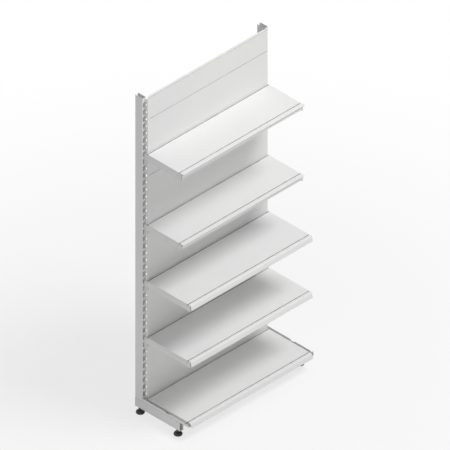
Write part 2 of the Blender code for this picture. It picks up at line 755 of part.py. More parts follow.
def make_shelf(name, depth, front_fold, flange_half, level):
    mesh = shelf_mesh(name, depth, front_fold, flange_half)
    shelf = add_part(name, mesh, shelf_coat, level)
    thicken(shelf, SHELF_SHEET)
    make_stiffener(f"{name}_stiffener", depth, level)


def make_sides(unit):
    for side, sign in SIDES.items():
        anchor = add_anchor(f"{side}_side", (sign * BAY_WIDTH / 2, FRONT_FACE_Y, 0), unit)
        screw_holes = screw_hole_cutter(side, anchor)
        make_upright(side, anchor)
        make_spigot(side, anchor)
        make_leg(side, anchor, screw_holes)
        make_base_bracket(side, anchor, screw_holes)
        make_base_screws(side, anchor)
        for end, place in FOOT_PLACES.items():
            foot = add_anchor(f"foot_axis_{end}_{side}", (0, -place, 0), anchor)
            make_foot(side, end, foot)
            make_leg_nut(side, end, foot)


def make_levels(unit):
    flange_half = BRACKET_INNER - HOOK_PLAY
    for number, slot in enumerate(LEVEL_SLOTS, 1):
        edge = slot_height(slot) + BRACKET_TOP_RISE
        level = add_anchor(f"level_{number}", (0, FRONT_FACE_Y, edge), unit)
        short = number in SHORT_LEVELS
        depth = SHORT_SHELF_DEPTH if short else LONG_SHELF_DEPTH
        make_brackets(number, SHORT_BRACKET if short else LONG_BRACKET, depth, level)
        make_shelf(f"shelf_{number}", depth, nosed_front if short else ticket_front, flange_half, level)
    base = add_anchor("base_level", (0, FRONT_FACE_Y, BASE_EDGE), unit)
    make_shelf("base_shelf", LONG_SHELF_DEPTH, ticket_front, BASE_BRACKET_INNER - 2 * HOOK_PLAY, base)


clear_scene()
parts = new_collection("wall_shelving_unit")
cutters = new_collection("cutters")
white = (0.86, 0.86, 0.85)
upright_coat = coat("upright_powder_coat", white, 0.42)
leg_coat = coat("leg_powder_coat", white, 0.42)
panel_coat = coat("panel_powder_coat", white, 0.45)
bracket_coat = coat("bracket_powder_coat", white, 0.40)
shelf_coat = coat("shelf_powder_coat", white, 0.40)
pad_plastic = coat("foot_pad_plastic", (0.02, 0.02, 0.022), 0.5)
zinc = coat("zinc_plate", (0.62, 0.62, 0.60), 0.32, 1.0)

unit = add_anchor("wall_shelving_unit_origin", (0, 0, 0))
make_sides(unit)
back = add_anchor("back", (0, FRONT_FACE_Y, 0), unit)
make_panels(back)
make_levels(unit)
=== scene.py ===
import json
import math

import bmesh
import bpy
from mathutils import Matrix, Vector

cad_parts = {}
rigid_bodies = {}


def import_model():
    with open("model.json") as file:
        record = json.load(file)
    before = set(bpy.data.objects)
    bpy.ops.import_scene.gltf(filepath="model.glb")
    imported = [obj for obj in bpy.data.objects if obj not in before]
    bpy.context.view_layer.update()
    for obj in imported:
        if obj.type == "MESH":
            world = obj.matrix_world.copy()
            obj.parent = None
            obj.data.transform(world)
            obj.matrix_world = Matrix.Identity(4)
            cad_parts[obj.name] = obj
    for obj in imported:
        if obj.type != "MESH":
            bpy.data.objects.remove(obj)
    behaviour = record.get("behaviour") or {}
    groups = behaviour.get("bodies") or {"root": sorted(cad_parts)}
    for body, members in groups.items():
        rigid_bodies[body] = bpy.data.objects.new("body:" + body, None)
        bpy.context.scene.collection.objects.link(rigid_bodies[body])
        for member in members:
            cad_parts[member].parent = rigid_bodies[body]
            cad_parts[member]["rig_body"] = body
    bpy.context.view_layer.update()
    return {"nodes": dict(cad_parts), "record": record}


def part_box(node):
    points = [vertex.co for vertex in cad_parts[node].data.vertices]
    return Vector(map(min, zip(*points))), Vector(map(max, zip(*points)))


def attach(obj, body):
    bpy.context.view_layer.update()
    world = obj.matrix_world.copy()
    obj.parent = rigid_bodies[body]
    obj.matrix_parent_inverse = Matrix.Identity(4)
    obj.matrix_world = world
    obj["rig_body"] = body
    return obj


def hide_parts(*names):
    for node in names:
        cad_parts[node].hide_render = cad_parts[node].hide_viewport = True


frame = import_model()
slotOfNode = {part["node"]: part["material_slot"] for part in frame["record"]["subparts"]}
sideSigns = {"left": -1, "right": 1}
print("frame loaded:", len(frame["nodes"]), "nodes")

# view and stage

cameraView = {
    "azimuth": -45,
    "elevation": 35.264,
    "scale": 2.61,
    "lookAt": (0.393, 0.393, 0.786),
    "distance": 9,
    "clipEnd": 100,
}
stageLook = {
    "floorColour": (0.90, 0.90, 0.90, 1),
    "floorGlow": (0.72, 1.0),  # share of plain white that the camera sees on the floor, near and far
    "floorFade": (0.9, 3.6),
    "floorSize": 30,
    "skyColour": (1, 1, 1, 1),
    "skyStrength": 0.34,
    "lampAim": (0, 0, 1.0),
    "keyFrom": (2.7, -4.8, 10.5),
    "keyEnergy": 690,
    "keySize": 4.0,
    "fillFrom": (-5.0, -1.6, 2.6),
    "fillEnergy": 18,
    "fillSize": 3.0,
}


def placeCamera():
    turn = math.radians(cameraView["azimuth"])
    tilt = math.radians(cameraView["elevation"])
    back = Vector((math.sin(turn) * math.cos(tilt), -math.cos(turn) * math.cos(tilt), math.sin(tilt)))
    lens = bpy.data.cameras.new("drawingView")
    lens.type = "ORTHO"
    lens.ortho_scale = cameraView["scale"]
    lens.clip_end = cameraView["clipEnd"]
    camera = bpy.data.objects.new("drawingView", lens)
    camera.location = Vector(cameraView["lookAt"]) + back * cameraView["distance"]
    camera.rotation_euler = (-back).to_track_quat("-Z", "Y").to_euler()
    bpy.context.scene.collection.objects.link(camera)
    bpy.context.scene.camera = camera


def areaLamp(name):
    lamp = bpy.data.lights.new(f"{name}Lamp", "AREA")
    lamp.energy = stageLook[f"{name}Energy"]
    lamp.size = stageLook[f"{name}Size"]
    holder = bpy.data.objects.new(f"{name}Lamp", lamp)
    holder.location = stageLook[f"{name}From"]
    aim = Vector(stageLook["lampAim"]) - holder.location
    holder.rotation_euler = aim.to_track_quat("-Z", "Y").to_euler()
    bpy.context.scene.collection.objects.link(holder)


def wholeObject(shape, name):
    mesh = bpy.data.meshes.new(name)
    shape.to_mesh(mesh)
    shape.free()
    held = bpy.data.objects.new(name, mesh)
    bpy.context.scene.collection.objects.link(held)
    return held


def feed(tree, value, socket):
    # gives a socket another node's output or a plain value
    if isinstance(value, bpy.types.NodeSocket):
        tree.links.new(value, socket)
    else:
        socket.default_value = value


def addNode(tree, kind, **values):
    node = tree.nodes.new(kind)
    for name, value in values.items():
        setattr(node, name, value)
    return node


def mathStep(tree, operation, first, second):
    step = addNode(tree, "ShaderNodeMath", operation=operation)
    feed(tree, first, step.inputs[0])
    feed(tree, second, step.inputs[1])
    return step.outputs[0]


def ranged(tree, value, low, high, newLow=0.0, newHigh=1.0):
    step = addNode(tree, "ShaderNodeMapRange", interpolation_type="SMOOTHSTEP")
    given = {"Value": value, "From Min": low, "From Max": high, "To Min": newLow, "To Max": newHigh}
    for label, bound in given.items():
        feed(tree, bound, step.inputs[label])
    return step.outputs["Result"]


def seenDirectly(tree):
    # camera, mirror and glass rays see the plain white background
    rays = addNode(tree, "ShaderNodeLightPath")
    seen = mathStep(tree, "MAXIMUM", rays.outputs["Is Camera Ray"], rays.outputs["Is Glossy Ray"])
    return mathStep(tree, "MAXIMUM", seen, rays.outputs["Is Transmission Ray"])


def mixedSurface(tree, share, first, second, outputKind):
    blend = addNode(tree, "ShaderNodeMixShader")
    for source, socket in zip((share, first.outputs[0], second.outputs[0]), blend.inputs):
        feed(tree, source, socket)
    feed(tree, blend.outputs[0], addNode(tree, outputKind).inputs["Surface"])


def makeFloor():
    shape = bmesh.new()
    bmesh.ops.create_grid(shape, x_segments=1, y_segments=1, size=stageLook["floorSize"] / 2)
    floor = wholeObject(shape, "studioFloor")
    paint = bpy.data.materials.new("studioFloorPaint")
    paint.use_nodes = True
    tree = paint.node_tree
    tree.nodes.clear()
    matte = addNode(tree, "ShaderNodeBsdfDiffuse")
    feed(tree, stageLook["floorColour"], matte.inputs["Color"])
    glow = addNode(tree, "ShaderNodeEmission")
    reach = addNode(tree, "ShaderNodeVectorMath", operation="LENGTH")
    feed(tree, addNode(tree, "ShaderNodeTexCoord").outputs["Object"], reach.inputs[0])
    plain = ranged(tree, reach.outputs["Value"], *stageLook["floorFade"], *stageLook["floorGlow"])
    share = mathStep(tree, "MULTIPLY", seenDirectly(tree), plain)
    mixedSurface(tree, share, matte, glow, "ShaderNodeOutputMaterial")
    floor.data.materials.append(paint)


def makeSky():
    sky = bpy.data.worlds.new("studioSky")
    sky.use_nodes = True
    tree = sky.node_tree
    tree.nodes.clear()
    light = addNode(tree, "ShaderNodeBackground")
    feed(tree, stageLook["skyStrength"], light.inputs["Strength"])
    white = addNode(tree, "ShaderNodeBackground")
    for backdrop in (light, white):
        feed(tree, stageLook["skyColour"], backdrop.inputs["Color"])
    mixedSurface(tree, seenDirectly(tree), light, white, "ShaderNodeOutputWorld")
    bpy.context.scene.world = sky


placeCamera()
makeFloor()
makeSky()
for lampName in ("key", "fill"):
    areaLamp(lampName)
bpy.context.scene.view_settings.view_transform = "Standard"
print("stage set")

# finishes


def newGroup(name, inputs, outputs):
    # a socket whose label ends in Color is a colour, the others are plain numbers
    group = bpy.data.node_groups.new(name, "ShaderNodeTree")
    for way, labels in (("INPUT", inputs), ("OUTPUT", outputs)):
        for label in labels:
            kind = "NodeSocketColor" if label.endswith("Color") else "NodeSocketFloat"
            group.interface.new_socket(label, in_out=way, socket_type=kind)
    return group, addNode(group, "NodeGroupInput"), addNode(group, "NodeGroupOutput")


def noiseField(tree, scale, detail, vector=None):
    if vector is None:
        vector = addNode(tree, "ShaderNodeTexCoord").outputs["Object"]
    noise = addNode(tree, "ShaderNodeTexNoise")
    for label, value in (("Vector", vector), ("Scale", scale), ("Detail", detail)):
        feed(tree, value, noise.inputs[label])
    return noise.outputs["Fac"]


def blended(tree, share, first, second):
    # the colours go by place, because other sockets of this node have the same labels
    step = addNode(tree, "ShaderNodeMix", data_type="RGBA")
    feed(tree, share, step.inputs["Factor"])
    feed(tree, first, step.inputs[6])
    feed(tree, second, step.inputs[7])
    return step.outputs[2]


def summed(tree, first, second, shares):
    parts = [mathStep(tree, "MULTIPLY", value, share) for value, share in zip((first, second), shares)]
    return mathStep(tree, "ADD", *parts)


# noises are given as scale and detail, ranges as the stretch of the noise that counts

skinLook = {
    "drift": (2.4, 4),
    "driftRange": (0.32, 0.68),
    "peelDetail": 3,
    "fineTimes": 4.0,
    "fineDetail": 2,
    "shares": (0.7, 0.3),
    "glossRange": (0.3, 0.7),
}


def powderSkinGroup():
    # sprayed powder that has run together in the oven: a fine peel and slow drifts of tone
    inputs = ("Coat Color", "Drift Color", "Peel Scale", "Low Roughness", "High Roughness")
    group, given, put = newGroup("powderSkin", inputs, ("Color", "Roughness", "Height"))
    drift = ranged(group, noiseField(group, *skinLook["drift"]), *skinLook["driftRange"])
    tone = blended(group, drift, given.outputs["Coat Color"], given.outputs["Drift Color"])
    feed(group, tone, put.inputs["Color"])
    peel = noiseField(group, given.outputs["Peel Scale"], skinLook["peelDetail"])
    fineScale = mathStep(group, "MULTIPLY", given.outputs["Peel Scale"], skinLook["fineTimes"])
    fine = noiseField(group, fineScale, skinLook["fineDetail"])
    feed(group, summed(group, peel, fine, skinLook["shares"]), put.inputs["Height"])
    roughness = given.outputs["Low Roughness"], given.outputs["High Roughness"]
    feed(group, ranged(group, peel, *skinLook["glossRange"], *roughness), put.inputs["Roughness"])
    return group


wearLook = {
    "coarse": (45, 5),
    "fine": (420, 3),
    "level": 0.5,  # the middle of the noise
    "shares": (1.1, 0.5),
    "reach": (0.45, 1.05),
    "fade": (0.0, 0.25),
}


def edgeWearGroup():
    # powder draws back from cut edges, and handling rubs it there first
    group, given, put = newGroup("edgeWear", ("Color", "Worn Color", "Wear", "Amount"), ("Color",))
    coarse = mathStep(group, "SUBTRACT", noiseField(group, *wearLook["coarse"]), wearLook["level"])
    fine = mathStep(group, "SUBTRACT", noiseField(group, *wearLook["fine"]), wearLook["level"])
    reach = mathStep(group, "ADD", given.outputs["Wear"], summed(group, coarse, fine, wearLook["shares"]))
    mask = mathStep(group, "MULTIPLY", ranged(group, reach, *wearLook["reach"]), given.outputs["Amount"])
    mask = mathStep(group, "MULTIPLY", mask, ranged(group, given.outputs["Wear"], *wearLook["fade"]))
    tone = blended(group, mask, given.outputs["Color"], given.outputs["Worn Color"])
    feed(group, tone, put.inputs["Color"])
    return group


markLook = {
    "stretch": (14, 90, 14),
    "turn": (0.0, 0.0, 0.42),
    "streaks": (3.0, 6),
    "streakRange": (0.60, 0.72),
    "patches": (5.5, 3),
    "patchRange": (0.48, 0.66),
}


def slideMarksGroup():
    # faint rub marks where goods, hooks and hands slide along the coat
    group, given, put = newGroup("slideMarks", ("Color", "Mark Color", "Amount"), ("Color",))
    place = addNode(group, "ShaderNodeTexCoord").outputs["Object"]
    stretch = addNode(group, "ShaderNodeMapping")
    for label, value in (("Vector", place), ("Rotation", markLook["turn"]), ("Scale", markLook["stretch"])):
        feed(group, value, stretch.inputs[label])
    streaks = noiseField(group, *markLook["streaks"], stretch.outputs["Vector"])
    streaks = ranged(group, streaks, *markLook["streakRange"])
    patches = ranged(group, noiseField(group, *markLook["patches"], place), *markLook["patchRange"])
    mask = mathStep(group, "MULTIPLY", mathStep(group, "MULTIPLY", streaks, patches), given.outputs["Amount"])
    tone = blended(group, mask, given.outputs["Color"], given.outputs["Mark Color"])
    feed(group, tone, put.inputs["Color"])
    return group


# patches that break up the painted shade in grooves and seams
creaseShadeLook = {"patches": (26, 5), "range": (0.28, 0.66), "shares": (0.62, 1.0)}


def paintedCreaseShadeGroup():
    # painted shade in pressed grooves and seams, a dark colour broken into patches
    group, given, put = newGroup("paintedCreaseShade", ("Color", "Dust Color", "Crease"), ("Color",))
    patches = ranged(group, noiseField(group, *creaseShadeLook["patches"]), *creaseShadeLook["range"], *creaseShadeLook["shares"])
    mask = mathStep(group, "MULTIPLY", given.outputs["Crease"], patches)
    tone = blended(group, mask, given.outputs["Color"], given.outputs["Dust Color"])
    feed(group, tone, put.inputs["Color"])
    return group


powderSkin = powderSkinGroup()
edgeWear = edgeWearGroup()
slideMarks = slideMarksGroup()
paintedCreaseShade = paintedCreaseShadeGroup()

coatLooks = {
    "upright_coat": {"rough": (0.40, 0.52), "peel": 420, "edge": 0.75, "marks": 0.22},
    "leg_coat": {"rough": (0.40, 0.52), "peel": 420, "edge": 0.80, "marks": 0.30},
    "panel_coat": {"rough": (0.44, 0.56), "peel": 380, "edge": 0.60, "marks": 0.08},
    "bracket_coat": {"rough": (0.38, 0.50), "peel": 440, "edge": 0.85, "marks": 0.28},
    "shelf_coat": {"rough": (0.42, 0.54), "peel": 420, "edge": 0.70, "marks": 0.26},
}
coatColours = {
    "white": (0.86, 0.86, 0.85, 1),
    "drift": (0.835, 0.838, 0.835, 1),
    "worn": (0.43, 0.435, 0.44, 1),
    "mark": (0.70, 0.70, 0.69, 1),
    # the darkest tone below is painted shade, for grooves and seams
    "dustAndShade": (0.20, 0.195, 0.185, 1),
}
coatSurface = {"specular": 0.4, "peelHeight": 0.00010, "peelStrength": 0.6}


def placeGroup(tree, group, **values):
    node = addNode(tree, "ShaderNodeGroup", node_tree=group)
    for label, value in values.items():
        feed(tree, value, node.inputs[label.replace("_", " ")])
    return node


def newFinish(name):
    finish = bpy.data.materials.new(name)
    finish.use_nodes = True
    return finish, finish.node_tree, finish.node_tree.nodes["Principled BSDF"]


def bumped(tree, shader, height, distance, strength):
    bump = addNode(tree, "ShaderNodeBump")
    for label, value in (("Height", height), ("Distance", distance), ("Strength", strength)):
        feed(tree, value, bump.inputs[label])
    feed(tree, bump.outputs["Normal"], shader.inputs["Normal"])


def powderCoat(name, look):
    finish, tree, shader = newFinish(name)
    skin = placeGroup(
        tree,
        powderSkin,
        Coat_Color=coatColours["white"],
        Drift_Color=coatColours["drift"],
        Peel_Scale=look["peel"],
        Low_Roughness=look["rough"][0],
        High_Roughness=look["rough"][1],
    )
    marks = placeGroup(
        tree, slideMarks, Color=skin.outputs["Color"], Mark_Color=coatColours["mark"], Amount=look["marks"]
    )
    wear = addNode(tree, "ShaderNodeAttribute", attribute_name="wear")
    edge = placeGroup(
        tree,
        edgeWear,
        Color=marks.outputs["Color"],
        Worn_Color=coatColours["worn"],
        Wear=wear.outputs["Fac"],
        Amount=look["edge"],
    )
    # painted shade in grooves and seams, read from the faces marked on the mesh
    creaseShade = addNode(tree, "ShaderNodeAttribute", attribute_name="creaseShade")
    creaseShaded = placeGroup(
        tree,
        paintedCreaseShade,
        Color=edge.outputs["Color"],
        Dust_Color=coatColours["dustAndShade"],
        Crease=creaseShade.outputs["Fac"],
    )
    feed(tree, creaseShaded.outputs["Color"], shader.inputs["Base Color"])
    feed(tree, skin.outputs["Roughness"], shader.inputs["Roughness"])
    feed(tree, coatSurface["specular"], shader.inputs["Specular IOR Level"])
    bumped(tree, shader, skin.outputs["Height"], coatSurface["peelHeight"], coatSurface["peelStrength"])
    return finish


plasticLook = {
    "black": (0.018, 0.018, 0.020, 1),
    "worn": (0.060, 0.060, 0.062, 1),
    "dustAndShade": (0.17, 0.165, 0.155, 1),
    "rough": (0.42, 0.60),
    "cloud": (70, 5),
    "toneRange": (0.35, 0.75),
    "roughRange": (0.3, 0.7),
    "dustTop": 0.007,  # height over the floor where the dust fades out
    "dustAmount": 0.55,
    "dustPatches": (160, 4),
    "dustRange": (0.3, 0.7),
    "dustShares": (0.2, 1.0),
    "grain": (1500, 3),
    "grainHeight": 0.00008,
    "grainStrength": 0.5,
}


def mouldedPlastic():
    look = plasticLook
    finish, tree, shader = newFinish("footPadPlastic")
    height = addNode(tree, "ShaderNodeSeparateXYZ")
    feed(tree, addNode(tree, "ShaderNodeTexCoord").outputs["Object"], height.inputs[0])
    cloud = noiseField(tree, *look["cloud"])
    tone = blended(tree, ranged(tree, cloud, *look["toneRange"]), look["black"], look["worn"])
    low = ranged(tree, height.outputs["Z"], 0.0, look["dustTop"], look["dustAmount"], 0.0)
    patches = ranged(tree, noiseField(tree, *look["dustPatches"]), *look["dustRange"], *look["dustShares"])
    dustAndShade = mathStep(tree, "MULTIPLY", low, patches)
    feed(tree, blended(tree, dustAndShade, tone, look["dustAndShade"]), shader.inputs["Base Color"])
    feed(tree, ranged(tree, cloud, *look["roughRange"], *look["rough"]), shader.inputs["Roughness"])
    bumped(tree, shader, noiseField(tree, *look["grain"]), look["grainHeight"], look["grainStrength"])
    return finish


zincLook = {
    "bright": (0.66, 0.67, 0.67, 1),
    "cloudy": (0.52, 0.53, 0.55, 1),
    "rough": (0.22, 0.42),
    "cloud": (140, 4),
    "toneRange": (0.3, 0.7),
    "roughRange": (0.25, 0.75),
    "brush": (2600, 2600, 160),
    "brushNoise": (1.0, 2),
    "brushHeight": 0.00003,
    "brushStrength": 0.4,
}


def zincPlate():
    look = zincLook
    finish, tree, shader = newFinish("zincPlate")
    feed(tree, 1.0, shader.inputs["Metallic"])
    cloud = noiseField(tree, *look["cloud"])
    tone = blended(tree, ranged(tree, cloud, *look["toneRange"]), look["bright"], look["cloudy"])
    feed(tree, tone, shader.inputs["Base Color"])
    feed(tree, ranged(tree, cloud, *look["roughRange"], *look["rough"]), shader.inputs["Roughness"])
    brush = addNode(tree, "ShaderNodeMapping")
    feed(tree, look["brush"], brush.inputs["Scale"])
    feed(tree, addNode(tree, "ShaderNodeTexCoord").outputs["Object"], brush.inputs["Vector"])
    strokes = noiseField(tree, *look["brushNoise"], brush.outputs["Vector"])
    bumped(tree, shader, strokes, look["brushHeight"], look["brushStrength"])
    return finish


finishes = {slotName: powderCoat(slotName.replace("_c", "C"), look) for slotName, look in coatLooks.items()}
finishes["pad_plastic"] = mouldedPlastic()
finishes["zinc"] = zincPlate()
print("finishes made:", ", ".join(finishes))

# shaping helpers

sheetEdges = {
    "rim": 0.00025,  # sizes in metres
    "rimSteps": 2,
    "sharpFrom": 50,  # angles in degrees
    "smoothTo": 34,
    "joinTo": 2,
    "flatTo": 0.5,
    "levelTo": 0.05,
    "along": 0.999,  # share of an edge's length that runs along an axis
    "broadFrom": 0.0035,  # mean width of a face that gets a worn band
    "wearCut": 0.0024,  # how far from an end the bends are cut across
    "merge": 0.000002,
    "tiny": 0.00001,
}


def everything(shape):
    return shape.verts[:] + shape.edges[:] + shape.faces[:]


def vertsOf(geometry):
    return [item for item in geometry if isinstance(item, bmesh.types.BMVert)]


def liesAt(item, axis, place):
    return all(abs(vert.co[axis] - place) < sheetEdges["tiny"] for vert in item.verts)


def openShape():
    shape = bmesh.new()
    shape.faces.layers.float.new("rim")
    return shape


def cadCopy(node):
    # the node's loose triangles, merged and with nearly flat faces joined
    shape = openShape()
    shape.from_mesh(frame["nodes"][node].data)
    bmesh.ops.remove_doubles(shape, verts=shape.verts, dist=sheetEdges["merge"])
    joined = math.radians(sheetEdges["joinTo"])
    bmesh.ops.dissolve_limit(shape, angle_limit=joined, verts=shape.verts, edges=shape.edges)
    return shape


def bevelled(shape, geometry, offset, steps, affect):
    return bmesh.ops.bevel(
        shape,
        geom=geometry,
        offset=offset,
        offset_type="OFFSET",
        segments=steps,
        profile=0.5,
        affect=affect,
        clamp_overlap=affect == "EDGES",
        material=-1,
    )["faces"]


def foldedEdges(shape, angle):
    limit = math.radians(angle)
    return [edge for edge in shape.edges if len(edge.link_faces) == 2 and edge.calc_face_angle(0) > limit]


def alongAxis(edge, axis):
    run = (edge.verts[1].co - edge.verts[0].co).normalized()
    return abs(run[axis]) > sheetEdges["along"]


def softenRims(shape, width=sheetEdges["rim"]):
    # rounds the cut edges and marks them for the finish
    rim = shape.faces.layers.float["rim"]
    sharp = foldedEdges(shape, sheetEdges["sharpFrom"])
    for face in bevelled(shape, sharp, width, sheetEdges["rimSteps"], "EDGES"):
        face[rim] = 1.0
    bmesh.ops.dissolve_degenerate(shape, dist=sheetEdges["merge"], edges=shape.edges)


def bentWire(shape, corners, steps, closed=False):
    # a wire through the corners, each rounded to its own bend radius
    places = [Vector(place) for place, bend in corners]
    bends = [bend for place, bend in corners]
    row = [shape.verts.new(place) for place in places]
    if closed:
        shape.edges.new((row[-1], row[0]))
    for pair in zip(row, row[1:]):
        shape.edges.new(pair)
    for index, bend in enumerate(bends):
        if bend:
            before = places[index] - places[index - 1]
            after = places[(index + 1) % len(places)] - places[index]
            arcStart = bend * math.tan(before.angle(after) / 2)
            bevelled(shape, [row[index]], arcStart, steps, "VERTICES")
    return row[0], row[-1]


def drawn(shape, edges, shift):
    # extrudes the edges by the shift and gives the edges at the new end
    made = bmesh.ops.extrude_edge_only(shape, edges=edges)["geom"]
    fresh = vertsOf(made)
    bmesh.ops.translate(shape, verts=fresh, vec=shift)
    ahead = set(fresh)
    return [item for item in made if isinstance(item, bmesh.types.BMEdge) and ahead.issuperset(item.verts)]


def evaluated(held):
    # the object's mesh with its modifiers, back as a shape
    shape = openShape()
    shape.from_object(held, bpy.context.evaluated_depsgraph_get())
    if "rim" not in shape.faces.layers.float:
        shape.faces.layers.float.new("rim")
    mesh = held.data
    bpy.data.objects.remove(held)
    bpy.data.meshes.remove(mesh)
    return shape


def thickened(shape, wall):
    # half of the wall goes to each side of the drawn surface
    bmesh.ops.dissolve_degenerate(shape, dist=sheetEdges["tiny"], edges=shape.edges)
    bmesh.ops.recalc_face_normals(shape, faces=shape.faces)
    sheet = wholeObject(shape, "sheet")
    skin = sheet.modifiers.new("wall", "SOLIDIFY")
    skin.thickness = wall
    skin.offset = 0
    skin.use_even_offset = True
    return evaluated(sheet)


def faceGroups(shape, turn):
    # neighbouring faces that turn less than the given angle, without the narrow cut edges
    rim = shape.faces.layers.float["rim"]
    shape.normal_update()
    groups = []
    seen = set()
    for first in shape.faces:
        if first in seen or first[rim]:
            continue
        seen.add(first)
        group = [first]
        for face in group:
            for edge in face.edges:
                for other in edge.link_faces:
                    if other not in seen and not other[rim] and face.normal.angle(other.normal, turn) < turn:
                        seen.add(other)
                        group.append(other)
        inside = set(group)
        outline = sum(
            edge.calc_length() for face in group for edge in face.edges
            if any(other not in inside for other in edge.link_faces)
        )
        if 2 * sum(face.calc_area() for face in group) > outline * sheetEdges["broadFrom"]:
            groups.append(group)
    return groups


def cutAcross(shape, axis, places):
    normal = Vector((0, 0, 0))
    normal[axis] = 1
    for place in places:
        bmesh.ops.bisect_plane(
            shape, geom=everything(shape), dist=sheetEdges["merge"], plane_co=normal * place, plane_no=normal
        )


def wearEdges(shape, width, turn, cuts=()):
    # a band inside the cut edges, over which the wear fades out; bends are cut across near their ends
    flat = turn == sheetEdges["flatTo"]
    for group in faceGroups(shape, math.radians(turn)):
        bmesh.ops.inset_region(shape, faces=group, thickness=width, use_boundary=True, use_even_offset=flat)
    for axis, places in cuts:
        cutAcross(shape, axis, places)
    rim = shape.faces.layers.float["rim"]
    wear = shape.verts.layers.float.new("wear")
    for face in shape.faces:
        if face[rim]:
            for vert in face.verts:
                vert[wear] = 1.0


def finishPiece(name, shape, node):
    piece = wholeObject(shape, name)
    piece.data.shade_smooth()
    piece.data.set_sharp_from_angle(angle=math.radians(sheetEdges["smoothTo"]))
    piece.data.materials.append(finishes[slotOfNode[node]])
    even = piece.modifiers.new("evenShading", "WEIGHTED_NORMAL")
    even.keep_sharp = True
    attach(piece, frame["nodes"][node]["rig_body"])
    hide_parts(node)


# uprights

uprightSizes = {
    "wall": 0.002,
    "lip": 0.010,
    "bend": 0.003,
    "bendSteps": 5,
    "pitch": 0.050,
    "firstSlot": 0.150,
    "slotCount": 42,
    "slotWidth": 0.006,
    "slotHeight": 0.032,
    "slotOffset": 0.006,
    "slotCorner": 0.001,
    "cornerSteps": 3,
    "collar": 0.0016,  # plain ring round each slot
    "wear": 0.0011,
    "footShade": 0.0012,  # height of the painted shade along the seam on the leg
}


def slotLoop(shape, centre, grow):
    # a circle whose quarters are drawn apart into a slot with rounded corners
    sizes = uprightSizes
    radius = sizes["slotCorner"] + grow
    count = 4 * sizes["cornerSteps"]
    turned = Matrix.Rotation(math.pi / 2, 4, "X") @ Matrix.Rotation(math.pi / count, 4, "Z")
    ring = bmesh.ops.create_circle(shape, segments=count, radius=radius, matrix=turned)["verts"]
    for vert in ring:
        vert.co.x += math.copysign(sizes["slotWidth"] / 2 + grow - radius, vert.co.x)
        vert.co.z += math.copysign(sizes["slotHeight"] / 2 + grow - radius, vert.co.z)
    bmesh.ops.translate(shape, verts=ring, vec=centre)
    return list({edge for vert in ring for edge in vert.link_edges})


def frontWall(half):
    # one slot with its share of the wall, repeated up and across
    sizes = uprightSizes
    shape = openShape()
    centre = (sizes["slotOffset"], 0, 0)
    slot = slotLoop(shape, centre, 0)
    collar = slotLoop(shape, centre, sizes["collar"])
    bmesh.ops.bridge_loops(shape, edges=slot + collar)
    corners = [(0, -1), (half, -1), (half, 1), (0, 1)]
    frameVerts = [shape.verts.new((x, 0, z * sizes["pitch"] / 2)) for x, z in corners]
    border = [shape.edges.new((frameVerts[index - 1], frameVerts[index])) for index in range(4)]
    bmesh.ops.triangle_fill(shape, edges=border + collar, use_beauty=True, normal=(0, -1, 0))
    mirrored = bmesh.ops.duplicate(shape, geom=everything(shape))["geom"]
    bmesh.ops.scale(shape, verts=vertsOf(mirrored), vec=(-1, 1, 1))
    cell = everything(shape)
    for index in range(1, sizes["slotCount"]):
        raised = bmesh.ops.duplicate(shape, geom=cell)["geom"]
        bmesh.ops.translate(shape, verts=vertsOf(raised), vec=(0, 0, sizes["pitch"] * index))
    bmesh.ops.remove_doubles(shape, verts=shape.verts, dist=sheetEdges["tiny"])
    return shape


def markFootShade(shape, bottom):
    # painted shade along the seam on the leg
    creaseShade = shape.faces.layers.float.new("creaseShade")
    for face in shape.faces:
        if face.calc_center_median().z < bottom + uprightSizes["footShade"]:
            face[creaseShade] = 1.0


def drawBend(shape, edges, ahead, aside):
    # a quarter turn from one direction into the other, in even chords
    sizes = uprightSizes
    quarter = math.pi / 2 / sizes["bendSteps"]
    chord = 2 * sizes["bend"] * math.sin(quarter / 2)
    for step in range(sizes["bendSteps"]):
        turn = quarter * (step + 0.5)
        edges = drawn(shape, edges, chord * (ahead * math.cos(turn) + aside * math.sin(turn)))
    return edges


def makeUpright(side):
    sizes = uprightSizes
    node = f"upright_{side}"
    low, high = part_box(node)
    wall = sizes["wall"]
    half = (high.x - low.x - wall) / 2
    deep = high.y - low.y - wall
    bend = sizes["bend"]
    shape = frontWall(half - bend)
    bottom = sizes["firstSlot"] - sizes["pitch"] / 2
    bmesh.ops.translate(shape, verts=shape.verts, vec=(0, 0, sizes["firstSlot"]))
    top = bottom + sizes["pitch"] * sizes["slotCount"]
    for edgeHeight, end in ((bottom, low.z), (top, high.z)):
        edges = [edge for edge in shape.edges if liesAt(edge, 2, edgeHeight)]
        drawn(shape, edges, Vector((0, 0, end - edgeHeight)))
    back = Vector((0, 1, 0))
    for sign in sideSigns.values():
        outward = Vector((sign, 0, 0))
        edges = [edge for edge in shape.edges if liesAt(edge, 0, sign * (half - bend))]
        edges = drawBend(shape, edges, outward, back)
        edges = drawn(shape, edges, back * (deep - 2 * bend))
        edges = drawBend(shape, edges, back, -outward)
        drawn(shape, edges, -outward * (sizes["lip"] - wall / 2 - bend))
    bmesh.ops.remove_doubles(shape, verts=shape.verts, dist=sheetEdges["tiny"])
    bmesh.ops.translate(shape, verts=shape.verts, vec=((low.x + high.x) / 2, low.y + wall / 2, 0))
    shape = thickened(shape, wall)
    softenRims(shape)
    wearEdges(shape, sizes["wear"], sheetEdges["smoothTo"])
    markFootShade(shape, low.z)
    finishPiece(f"{node}_slotted", shape, node)


for side in sideSigns:
    makeUpright(side)
print("uprights made")

# shelves and their stiffeners

